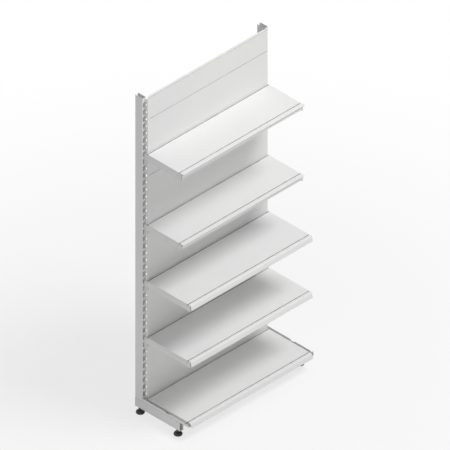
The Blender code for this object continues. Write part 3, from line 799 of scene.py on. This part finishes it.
shelfSizes = {
    "sheet": 0.001,
    "rearFlange": 0.025,
    "flangeTop": 0.006,  # how far below the deck the rear flange gets shorter
    "sideFlange": 0.014,
    "frontDrop": 0.033,
    "grooveWidth": 0.007,
    "grooveDepth": 0.004,
    "grooveSlope": 0.001,
    "grooveBend": 0.0007,
    "rearGroove": 0.005,
    "frontGroove": 0.030,
    "foldBend": 0.0012,
    "foldSteps": 3,
    "relief": 0.001,
    "ticketLean": 0.007,
    "ticketBend": 0.008,
    "noseOverhang": 0.010,
    "noseHeight": 0.007,
    "noseBend": 0.0025,
    "noseInnerBend": 0.0012,
    "bendSteps": 4,
    "wear": 0.0018,
    "shadeDepth": 0.0006,  # faces this far below the deck get painted shade
    "shadeTilt": 0.1,  # where they lean upwards more than this
}
shelfLevels = {
    "shelf_1": {"front": "nosed", "flangeEnd": 0.4932},
    "shelf_2": {"front": "nosed", "flangeEnd": 0.4932},
    "shelf_3": {"front": "ticket", "flangeEnd": 0.4932},
    "shelf_4": {"front": "ticket", "flangeEnd": 0.4932},
    "base_shelf": {"front": "ticket", "flangeEnd": 0.4842},
}


def groove(middle, deck):
    sizes = shelfSizes
    half = (sizes["grooveWidth"] - sizes["sheet"]) / 2
    foot = half - sizes["grooveSlope"]
    low = deck - sizes["grooveDepth"]
    bend = sizes["grooveBend"]
    return [
        ((0, middle + half, deck), bend),
        ((0, middle + foot, low), bend),
        ((0, middle - foot, low), bend),
        ((0, middle - half, deck), bend),
    ]


def frontFold(kind, front, deck):
    sizes = shelfSizes
    foot = deck - sizes["frontDrop"]
    if kind == "ticket":
        return [((0, front + sizes["ticketLean"], deck), sizes["ticketBend"]), ((0, front, foot), 0)]
    under = deck - sizes["noseHeight"]
    face = front + sizes["noseOverhang"]
    return [
        ((0, front, deck), sizes["noseBend"]),
        ((0, front, under), sizes["noseBend"]),
        ((0, face, under), sizes["noseInnerBend"]),
        ((0, face, foot), 0),
    ]


def markGrooveShade(shape, middles, deck):
    # painted shade on the floors of the grooves
    sizes = shelfSizes
    creaseShade = shape.faces.layers.float.new("creaseShade")
    for face in shape.faces:
        place = face.calc_center_median()
        near = min(abs(place.y - middle) for middle in middles) < sizes["grooveWidth"] / 2
        if near and place.z < deck - sizes["shadeDepth"] and face.normal.z > sizes["shadeTilt"]:
            face[creaseShade] = 1.0


def longestAt(shape, across):
    atEnd = [edge for edge in shape.edges if liesAt(edge, 0, across)]
    return max(atEnd, key=lambda edge: edge.calc_length())


def relieveFolds(shape, half):
    # small corner notches that let the side flanges fold clear of the grooves
    sizes = shelfSizes
    ends = sorted(vert.co.y for vert in longestAt(shape, half).verts)
    foldStart = half - sizes["foldBend"] - sizes["relief"] / 2
    cutAcross(shape, 0, (foldStart, -foldStart))
    cutAcross(shape, 1, (ends[0] + sizes["relief"], ends[1] - sizes["relief"]))
    corners = []
    for face in shape.faces:
        middle = face.calc_center_median()
        nearEnd = min(middle.y - ends[0], ends[1] - middle.y)
        if abs(middle.x) > foldStart and 0 < nearEnd < sizes["relief"]:
            corners.append(face)
    bmesh.ops.delete(shape, geom=corners, context="FACES")
    bmesh.ops.dissolve_limit(
        shape, angle_limit=math.radians(sheetEdges["levelTo"]), verts=shape.verts, edges=shape.edges
    )


def makeShelf(node, level):
    sizes = shelfSizes
    low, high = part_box(node)
    inset = sizes["sheet"] / 2
    deck = high.z - inset
    rear = high.y - inset
    front = low.y + inset
    half = high.x - inset
    corners = [((0, rear, deck - sizes["rearFlange"]), 0), ((0, rear, deck), sizes["foldBend"])]
    corners += groove(high.y - sizes["rearGroove"], deck)
    corners += groove(low.y + sizes["frontGroove"], deck)
    corners += frontFold(level["front"], front, deck)
    shape = openShape()
    bentWire(shape, corners, sizes["bendSteps"])
    bmesh.ops.translate(shape, verts=shape.verts, vec=(-half, 0, 0))
    edges = shape.edges[:]
    ends = [-half, -level["flangeEnd"], level["flangeEnd"], half]
    for start, end in zip(ends, ends[1:]):
        edges = drawn(shape, edges, Vector((end - start, 0, 0)))
    flangeEnds = []
    for face in shape.faces:
        middle = face.calc_center_median()
        below = middle.z < deck - sizes["flangeTop"] and middle.y > rear - inset
        if below and abs(middle.x) > level["flangeEnd"]:
            flangeEnds.append(face)
    bmesh.ops.delete(shape, geom=flangeEnds, context="FACES")
    relieveFolds(shape, half)
    folds = []
    for sign in sideSigns.values():
        deckEnd = longestAt(shape, sign * half)
        drawn(shape, [deckEnd], Vector((0, 0, -sizes["sideFlange"])))
        folds.append(deckEnd)
    bevelled(shape, folds, sizes["foldBend"], sizes["foldSteps"], "EDGES")
    shape = thickened(shape, sizes["sheet"])
    softenRims(shape)
    cut = sheetEdges["rim"] + sheetEdges["wearCut"]
    ends = [level["flangeEnd"] - cut]
    if half - level["flangeEnd"] > 2 * sizes["wear"] + cut:
        ends.append(half - sizes["foldBend"] - sizes["relief"] / 2 - cut)
    grooveEnd = sizes["grooveWidth"] / 2 + sizes["relief"] + cut
    deckEnds = (high.y - sizes["rearGroove"] - grooveEnd, low.y + sizes["frontGroove"] + grooveEnd)
    wearEdges(shape, sizes["wear"], sheetEdges["flatTo"], [(0, ends + [-end for end in ends]), (1, deckEnds)])
    markGrooveShade(shape, (high.y - sizes["rearGroove"], low.y + sizes["frontGroove"]), deck)
    finishPiece(f"{node}_folded", shape, node)


stiffenerSizes = {
    "sheet": 0.001,
    "fold": 0.005,
    "slope": 0.002,
    "bend": 0.0012,
    "bendSteps": 3,
    "wear": 0.001,
}


def makeStiffener(node):
    sizes = stiffenerSizes
    low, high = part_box(node)
    inset = sizes["sheet"] / 2
    top = high.z - inset
    foot = low.z + inset
    rear = high.y
    front = low.y
    corners = [
        ((0, rear, top), 0),
        ((0, rear - sizes["fold"], top), sizes["bend"]),
        ((0, rear - sizes["fold"] - sizes["slope"], foot), sizes["bend"]),
        ((0, front + sizes["fold"] + sizes["slope"], foot), sizes["bend"]),
        ((0, front + sizes["fold"], top), sizes["bend"]),
        ((0, front, top), 0),
    ]
    shape = openShape()
    bentWire(shape, corners, sizes["bendSteps"])
    bmesh.ops.translate(shape, verts=shape.verts, vec=(low.x, 0, 0))
    drawn(shape, shape.edges[:], Vector((high.x - low.x, 0, 0)))
    shape = thickened(shape, sizes["sheet"])
    softenRims(shape)
    wearEdges(shape, sizes["wear"], sheetEdges["smoothTo"])
    finishPiece(f"{node}_rolled", shape, node)


for node, level in shelfLevels.items():
    makeShelf(node, level)
    makeStiffener(f"{node}_stiffener")
print("shelves made")

# shelf brackets

bracketSizes = {
    "topOverHook": 0.024,  # from the hook's seat up to the top edge
    "hookNear": -0.0024,
    "hookFar": -0.014,
    "hookDrop": 0.012,
    "hookSlope": 0.006,
    "hookNeck": 0.014,
    "hookRound": 0.003,
    "cornerRound": 0.002,
    "tipRound": 0.004,
    "tipSlope": 0.006,
    "height": 0.045,
    "heelLength": 0.020,
    "heelRound": 0.008,
    "heelFoot": 0.075,
    "lugFoot": 0.072,
    "lugHeight": 0.014,
    "lugReach": 0.008,
    "gap": 0.0003,
    "notchDepth": 0.007,
    "shelfRear": 0.0213,
    "notchRear": (0.0198, 0.0313),
    "ribHalf": 0.0165,
    "grooveHalf": 0.005,
    "holeRadius": 0.0025,
    "holeSteps": 20,
    "holeSetIn": 0.035,
    "holeDrop": 0.029,
    "roundSteps": 4,
    "rim": 0.00035,
    "wear": 0.0011,
}


def bracketCorners(length, depth):
    sizes = bracketSizes
    seat = -sizes["topOverHook"]
    finger = seat - sizes["hookDrop"]
    neck = seat + sizes["hookNeck"]
    near = sizes["hookNear"]
    far = sizes["hookFar"]
    gap = sizes["gap"]
    small = sizes["cornerRound"]
    corners = [
        (near, seat, 0),
        (near, finger, small),
        ((near + far) / 2, finger, sizes["hookRound"]),
        (far, finger + sizes["hookSlope"], sizes["hookRound"]),
        (far, neck - sizes["hookSlope"], sizes["hookRound"]),
        (gap, neck, sizes["hookRound"]),
        (-neck, 0, small),
    ]
    middle = sizes["shelfRear"] + depth / 2
    front = sizes["shelfRear"] + depth - shelfSizes["frontGroove"]
    notches = [
        sizes["notchRear"],
        (middle - sizes["ribHalf"], middle + sizes["ribHalf"]),
        (front - sizes["grooveHalf"], front + sizes["grooveHalf"]),
    ]
    for start, end in notches:
        foot = -sizes["notchDepth"]
        corners += [(start, 0, 0), (start, foot, small), (end, foot, small), (end, 0, 0)]
    lugFoot = -sizes["lugFoot"]
    lugTop = lugFoot + sizes["lugHeight"]
    return corners + [
        (length - sizes["tipSlope"], 0, small),
        (length, -sizes["height"], sizes["tipRound"]),
        (sizes["heelLength"], -sizes["height"], sizes["tipRound"]),
        (sizes["heelLength"], -sizes["heelFoot"], sizes["heelRound"]),
        (gap, -sizes["heelFoot"], 0),
        (gap, lugFoot, 0),
        (-sizes["lugReach"], lugFoot, small),
        (-sizes["lugReach"], lugTop - sizes["tipRound"], small),
        (gap, lugTop, 0),
        (gap, seat, 0),
    ]


def makeBracket(side, number):
    sizes = bracketSizes
    node = f"shelf_bracket_{side}_{number}"
    low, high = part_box(node)
    shelfLow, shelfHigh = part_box(f"shelf_{number}")
    faceY = high.y + sizes["hookFar"]  # the upright's front face
    topEdge = low.z + sizes["heelFoot"]
    length = faceY - low.y
    corners = bracketCorners(length, shelfHigh.y - shelfLow.y)
    corners = [((low.x, faceY - forward, topEdge + up), bend) for forward, up, bend in corners]
    shape = openShape()
    bentWire(shape, corners, sizes["roundSteps"], closed=True)
    centre = Vector((low.x, faceY - length + sizes["holeSetIn"], topEdge - sizes["holeDrop"]))
    turned = Matrix.Translation(centre) @ Matrix.Rotation(math.pi / 2, 4, "Y")
    bmesh.ops.create_circle(shape, segments=sizes["holeSteps"], radius=sizes["holeRadius"], matrix=turned)
    bmesh.ops.triangle_fill(shape, edges=shape.edges[:], use_beauty=True, normal=(-1, 0, 0))
    flatAngle = math.radians(sheetEdges["flatTo"])
    bmesh.ops.dissolve_limit(shape, angle_limit=flatAngle, verts=[], edges=shape.edges)
    made = bmesh.ops.extrude_face_region(shape, geom=shape.faces[:], use_keep_orig=True)["geom"]
    bmesh.ops.translate(shape, verts=vertsOf(made), vec=(high.x - low.x, 0, 0))
    bmesh.ops.recalc_face_normals(shape, faces=shape.faces)
    softenRims(shape, sizes["rim"])
    wearEdges(shape, sizes["wear"], sheetEdges["flatTo"])
    finishPiece(f"{node}_cut", shape, node)


for number in (1, 2, 3, 4):
    for side in sideSigns:
        makeBracket(side, number)
print("shelf brackets made")

# back panels

panelSizes = {
    "sheet": 0.001,
    "standOff": 0.020,
    "flange": 0.017,
    "strip": 0.006,
    "seam": 0.0006,
    "relief": 0.003,
    "foldRound": 0.0012,
    "foldSteps": 4,
    "slotSpacing": 0.300,
    "slotLength": 0.020,
    "slotWidth": 0.006,
    "slotRound": 0.0012,
    "slotSteps": 3,
    "tabWidth": 0.040,
    "tabTurns": (-60, -30, 0, 30, 60),
    "tabRound": 0.012,
    "tabRootRound": 0.0014,
    "roundSteps": 4,
    "hookDrop": 0.008,
    "hookNeck": 0.007,
    "hookFinger": 0.003,
    "hookPlay": 0.0004,
    "hookRound": 0.001,
    "gap": 0.0003,
    # the strength of the painted shade on the folds
    "seamShade": 0.7,
    "seamReach": 1.5,  # how far the painted shade reaches, in fold radii
    "seamTilts": (0.1, 0.98),  # how much a fold's faces lean, between upright and level
    "rim": 0.0002,
    "wear": 0.0005,
}


def tabCorners(centre, hooked):
    # a rounded tab, or one that ends in a hook behind the upright's wall
    sizes = panelSizes
    strip = sizes["standOff"] - sizes["strip"]
    half = sizes["tabWidth"] / 2
    gap = sizes["gap"]
    root = sizes["tabRootRound"]
    corners = [(strip, centre - half, root)]
    for turn in sizes["tabTurns"]:
        if turn <= 0 or not hooked:
            reach = (strip - gap) * math.cos(math.radians(turn))
            corners.append((strip - reach, centre + half * math.sin(math.radians(turn)), sizes["tabRound"]))
    if hooked:
        seat = centre + (uprightSizes["pitch"] - uprightSizes["slotHeight"]) / 2 + gap
        near = -uprightSizes["wall"] - sizes["hookPlay"]
        far = near - sizes["hookFinger"]
        corners += [
            (gap, seat, 0),
            (near, seat, 0),
            (near, seat - sizes["hookDrop"], sizes["hookRound"]),
            (far, seat - sizes["hookDrop"], sizes["hookRound"]),
            (far, seat + sizes["hookNeck"], sizes["hookRound"]),
        ]
    return corners + [(strip, centre + half, root)]


def sideCorners(bottom, top):
    # the side flange's rear edge, upwards
    sizes = panelSizes
    strip = sizes["standOff"] - sizes["strip"]
    pitch = uprightSizes["pitch"]
    count = round((top - bottom) / pitch)
    corners = [(strip, bottom + sizes["relief"], 0)]
    for index in range(count):
        centre = bottom - sizes["seam"] / 2 + pitch * (index + 0.5)
        corners += tabCorners(centre, index in (0, count - 2))
    return corners + [(strip, top - sizes["relief"], 0)]


def drawFlange(shape, edges, slotted):
    # back in three strips, mitred at the ends; the middle strip has the slots
    sizes = panelSizes
    plain = (sizes["flange"] - sizes["slotWidth"]) / 2
    for depth in (plain, sizes["slotWidth"], plain):
        edges = drawn(shape, edges, Vector((0, depth, 0)))
        ends = [max(edges, key=lambda edge: sign * edge.verts[0].co.x) for sign in sideSigns.values()]
        for sign, edge in zip(sideSigns.values(), ends):
            vert = max(edge.verts, key=lambda vert: sign * vert.co.x)
            vert.co.x -= sign * depth
        if slotted and depth == sizes["slotWidth"]:
            middle = sizes["slotSpacing"] / 2
            holes = []
            for face in {face for edge in edges for face in edge.link_faces}:
                if abs(abs(face.calc_center_median().x) - middle) < sizes["slotLength"] / 2:
                    holes.append(face)
            bmesh.ops.delete(shape, geom=holes, context="FACES_ONLY")


def markSeamShade(shape, low, high):
    # painted shade on the folds beside the seams
    creaseShade = shape.faces.layers.float.new("creaseShade")
    near = panelSizes["seamReach"] * panelSizes["foldRound"]
    least, most = panelSizes["seamTilts"]
    for face in shape.faces:
        place = face.calc_center_median()
        folded = least < abs(face.normal.z) < most
        if folded and place.y < low.y + near and min(place.z - low.z, high.z - place.z) < near:
            face[creaseShade] = panelSizes["seamShade"]


def makePanel(node):
    sizes = panelSizes
    low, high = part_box(node)
    thin = sizes["sheet"] / 2
    half = high.x - thin
    inset = half - sizes["relief"]
    front = low.y + thin
    faceY = low.y + sizes["standOff"]  # the upright's front face
    slots = [sizes["slotSpacing"] / 2 + sign * sizes["slotLength"] / 2 for sign in (-1, 1)]
    stops = [slots[0], slots[1], inset, half]
    stops = [-stop for stop in reversed(stops)] + stops
    heights = (low.z + thin, low.z + sizes["relief"], high.z - sizes["relief"], high.z - thin)
    shape = openShape()
    bentWire(shape, [((-half, front, height), 0) for height in heights], 1)
    edges = shape.edges[:]
    for start, end in zip(stops, stops[1:]):
        edges = drawn(shape, edges, Vector((end - start, 0, 0)))
    for height in (heights[0], heights[-1]):
        edges = []
        for edge in shape.edges:
            middle = (edge.verts[0].co + edge.verts[1].co) / 2
            if abs(middle.z - height) < sheetEdges["tiny"] and abs(middle.x) < inset:
                edges.append(edge)
        drawFlange(shape, edges, height == heights[-1])
    for sign in sideSigns.values():
        ends = [shape.verts.new((sign * half, front, height)) for height in heights[1:3]]
        corners = sideCorners(low.z, high.z)
        wire = bentWire(
            shape,
            [((sign * half, faceY - forward, height), bend) for forward, height, bend in corners],
            sizes["roundSteps"],
        )
        shape.edges.new((ends[0], wire[0]))
        shape.edges.new((wire[1], ends[1]))
        shape.edges.new(ends)
        loose = [edge for edge in shape.edges if not edge.link_faces]
        bmesh.ops.contextual_create(shape, geom=loose)
    bmesh.ops.remove_doubles(shape, verts=shape.verts, dist=sheetEdges["tiny"])
    bmesh.ops.recalc_face_normals(shape, faces=shape.faces)
    folds = foldedEdges(shape, sheetEdges["sharpFrom"])
    bevelled(shape, folds, sizes["foldRound"], sizes["foldSteps"], "EDGES")
    shape = thickened(shape, sizes["sheet"])
    corners = []
    for edge in shape.edges:
        place = abs((edge.verts[0].co.x + edge.verts[1].co.x) / 2)
        if alongAxis(edge, 2) and edge.calc_length() < 2 * sizes["sheet"]:
            if min(abs(place - slot) for slot in slots) < sheetEdges["tiny"]:
                corners.append(edge)
    bevelled(shape, corners, sizes["slotRound"], sizes["slotSteps"], "EDGES")
    softenRims(shape, sizes["rim"])
    cut = sheetEdges["wearCut"]
    cuts = [(0, (cut - inset, inset - cut)), (2, (heights[1] + cut, heights[2] - cut))]
    wearEdges(shape, sizes["wear"], sheetEdges["flatTo"], cuts)
    markSeamShade(shape, low, high)
    finishPiece(f"{node}_pressed", shape, node)


for node in frame["nodes"]:
    if node.startswith("back_panel"):
        makePanel(node)
print("back panels made")

# legs, spigots and base brackets

legSizes = {
    "bendRound": 0.0013,
    "bendSteps": 2,
    "bendTurns": (30, 57),  # degrees by which the CAD's bends turn at an edge, least and most
    "wear": 0.0012,
}


def ringEnds(shape, axis, places):
    # the flat ends of a tube or a nut, as even rings
    for place in places:
        caps = [face for face in shape.faces if liesAt(face, axis, place)]
        bmesh.ops.delete(shape, geom=caps, context="FACES")
        loops = [edge for edge in shape.edges if edge.is_boundary and liesAt(edge, axis, place)]
        bmesh.ops.bridge_loops(shape, edges=loops)


def makeFolded(node, longAxis, suffix):
    # rounds the bends along the piece further, then its cut edges
    shape = cadCopy(node)
    least, most = legSizes["bendTurns"]
    bends = []
    for edge in foldedEdges(shape, least):
        if edge.calc_face_angle(0) < math.radians(most) and alongAxis(edge, longAxis):
            bends.append(edge)
    bevelled(shape, bends, legSizes["bendRound"], legSizes["bendSteps"], "EDGES")
    low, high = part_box(node)
    if suffix == "tube":
        ringEnds(shape, longAxis, (low[longAxis], high[longAxis]))
    softenRims(shape)
    ends = (low[longAxis] + sheetEdges["wearCut"], high[longAxis] - sheetEdges["wearCut"])
    wearEdges(shape, legSizes["wear"], sheetEdges["flatTo"], [(longAxis, ends)])
    finishPiece(f"{node}_{suffix}", shape, node)


for side in sideSigns:
    makeFolded(f"leg_{side}", 1, "tube")
    makeFolded(f"base_bracket_{side}", 1, "channel")
    makeFolded(f"spigot_{side}", 2, "channel")
print("legs made")

# feet, nuts and screws


def axisOf(low, high):
    return Vector(((low.x + high.x) / 2, (low.y + high.y) / 2, 0))


def dome(inner, outer, foot, top, steps):
    # a quarter ellipse from its top outwards and down
    turns = [math.pi / 2 * step / steps for step in range(steps + 1)]
    return [
        (inner + (outer - inner) * math.sin(turn), foot + (top - foot) * math.cos(turn), 0) for turn in turns
    ]


def turnedSolid(profile, centre, roundSteps, steps):
    # each corner of the profile has its distance from the axis, its height and its bend
    shape = openShape()
    bentWire(shape, [(centre + Vector((out, 0, up)), bend) for out, up, bend in profile], roundSteps)
    bmesh.ops.spin(
        shape,
        geom=shape.verts[:] + shape.edges[:],
        cent=centre,
        axis=(0, 0, 1),
        angle=2 * math.pi,
        steps=steps,
        use_merge=True,
    )
    bmesh.ops.remove_doubles(shape, verts=shape.verts, dist=sheetEdges["merge"])
    bmesh.ops.recalc_face_normals(shape, faces=shape.faces)
    return shape


padSizes = {
    "radius": 0.027,
    "neck": 0.011,
    "rim": 0.005,
    "shoulder": 0.018,
    "taper": 0.0017,
    "socket": 0.0053,
    "socketFloor": 0.010,
    "rimRound": 0.0012,
    "lipRound": 0.0008,
    "roundSteps": 4,
    "domeSteps": 9,
    "steps": 64,
}


def makePad(node):
    sizes = padSizes
    low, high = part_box(node)
    profile = [
        (0, sizes["socketFloor"], 0),
        (sizes["socket"], sizes["socketFloor"], 0),
        (sizes["socket"], high.z, sizes["lipRound"]),
        (sizes["neck"], high.z, sizes["rimRound"]),
    ]
    profile += dome(sizes["neck"], sizes["radius"], sizes["rim"], sizes["shoulder"], sizes["domeSteps"])
    profile += [(sizes["radius"] - sizes["taper"], 0, sizes["lipRound"]), (0, 0, 0)]
    shape = turnedSolid(profile, axisOf(low, high), sizes["roundSteps"], sizes["steps"])
    finishPiece(f"{node}_moulded", shape, node)


studSizes = {
    "pitch": 0.0015,
    "depth": 0.00085,
    "flankSlope": 2.6,
    "rootFlat": 0.15,
    "around": 28,
    "perTurn": 8,
    "tip": 0.0012,
}


def makeStud(node):
    sizes = studSizes
    low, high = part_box(node)
    centre = axisOf(low, high)
    radius = (high.x - low.x) / 2
    placed = Matrix.Translation((centre.x, centre.y, low.z))
    shape = openShape()
    bmesh.ops.create_circle(shape, segments=sizes["around"], radius=radius, matrix=placed)
    rings = int((high.z - low.z) / sizes["pitch"] * sizes["perTurn"])
    edges = shape.edges[:]
    for ring in range(rings):
        edges = drawn(shape, edges, Vector((0, 0, (high.z - low.z) / rings)))
    for vert in shape.verts:
        arm = (vert.co - centre).xy
        turn = math.atan2(arm.y, arm.x) / (2 * math.pi)
        phase = (vert.co.z / sizes["pitch"] - turn) % 1.0
        crest = min(1.0, max(0.0, abs(phase - 0.5) * sizes["flankSlope"] - sizes["rootFlat"]))
        chamfer = min(high.z - vert.co.z, vert.co.z - low.z)
        inward = max(sizes["depth"] * (1 - crest), sizes["tip"] - chamfer)
        vert.co.xy = centre.xy + arm.normalized() * (radius - inward)
    bmesh.ops.holes_fill(shape, edges=shape.edges, sides=0)
    bmesh.ops.recalc_face_normals(shape, faces=shape.faces)
    finishPiece(f"{node}_threaded", shape, node)


screwSizes = {
    "head": 0.007,
    "headHeight": 0.007,
    "shank": 0.003,
    "domeSteps": 8,
    "steps": 40,
    "recessLong": 0.0062,
    "recessWide": 0.0014,
    "recessDeep": 0.0030,
    "recessTaper": 0.5,
}


def recessTool(place):
    # two crossed bars that narrow downwards
    sizes = screwSizes
    shape = bmesh.new()
    for turn in (0, math.pi / 2):
        size = Matrix.Diagonal((sizes["recessLong"], sizes["recessWide"], 2 * sizes["recessDeep"], 1))
        bar = bmesh.ops.create_cube(shape, size=1, matrix=Matrix.Rotation(turn, 4, "Z") @ size)["verts"]
        foot = [vert for vert in bar if vert.co.z < 0]
        bmesh.ops.scale(shape, verts=foot, vec=(sizes["recessTaper"], sizes["recessTaper"], 1))
    bmesh.ops.translate(shape, verts=shape.verts, vec=place)
    return wholeObject(shape, "recessTool")


def makeScrew(node):
    sizes = screwSizes
    low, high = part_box(node)
    centre = axisOf(low, high)
    seat = high.z - sizes["headHeight"]
    profile = dome(0, sizes["head"], seat, high.z, sizes["domeSteps"])
    profile += [(sizes["shank"], seat, 0), (sizes["shank"], low.z, 0), (0, low.z, 0)]
    blank = wholeObject(turnedSolid(profile, centre, 1, sizes["steps"]), "screwBlank")
    tool = recessTool(centre + Vector((0, 0, high.z)))
    recess = blank.modifiers.new("recess", "BOOLEAN")
    recess.object = tool
    recess.use_self = True
    shape = evaluated(blank)
    evaluated(tool).free()  # the tool has done its work
    bmesh.ops.dissolve_degenerate(shape, dist=sheetEdges["tiny"], edges=shape.edges)
    finishPiece(f"{node}_headed", shape, node)


nutSizes = {"edgeRound": 0.0006}


def makeNut(node):
    shape = cadCopy(node)
    low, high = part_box(node)
    ringEnds(shape, 2, (low.z, high.z))
    softenRims(shape, nutSizes["edgeRound"])
    finishPiece(f"{node}_pressed", shape, node)


makers = {"foot_pad": makePad, "foot_stud": makeStud, "base_bracket_screw": makeScrew, "leg_nut": makeNut}
for node in frame["nodes"]:
    for start, maker in makers.items():
        if node.startswith(start):
            maker(node)
print("feet, nuts and screws made")
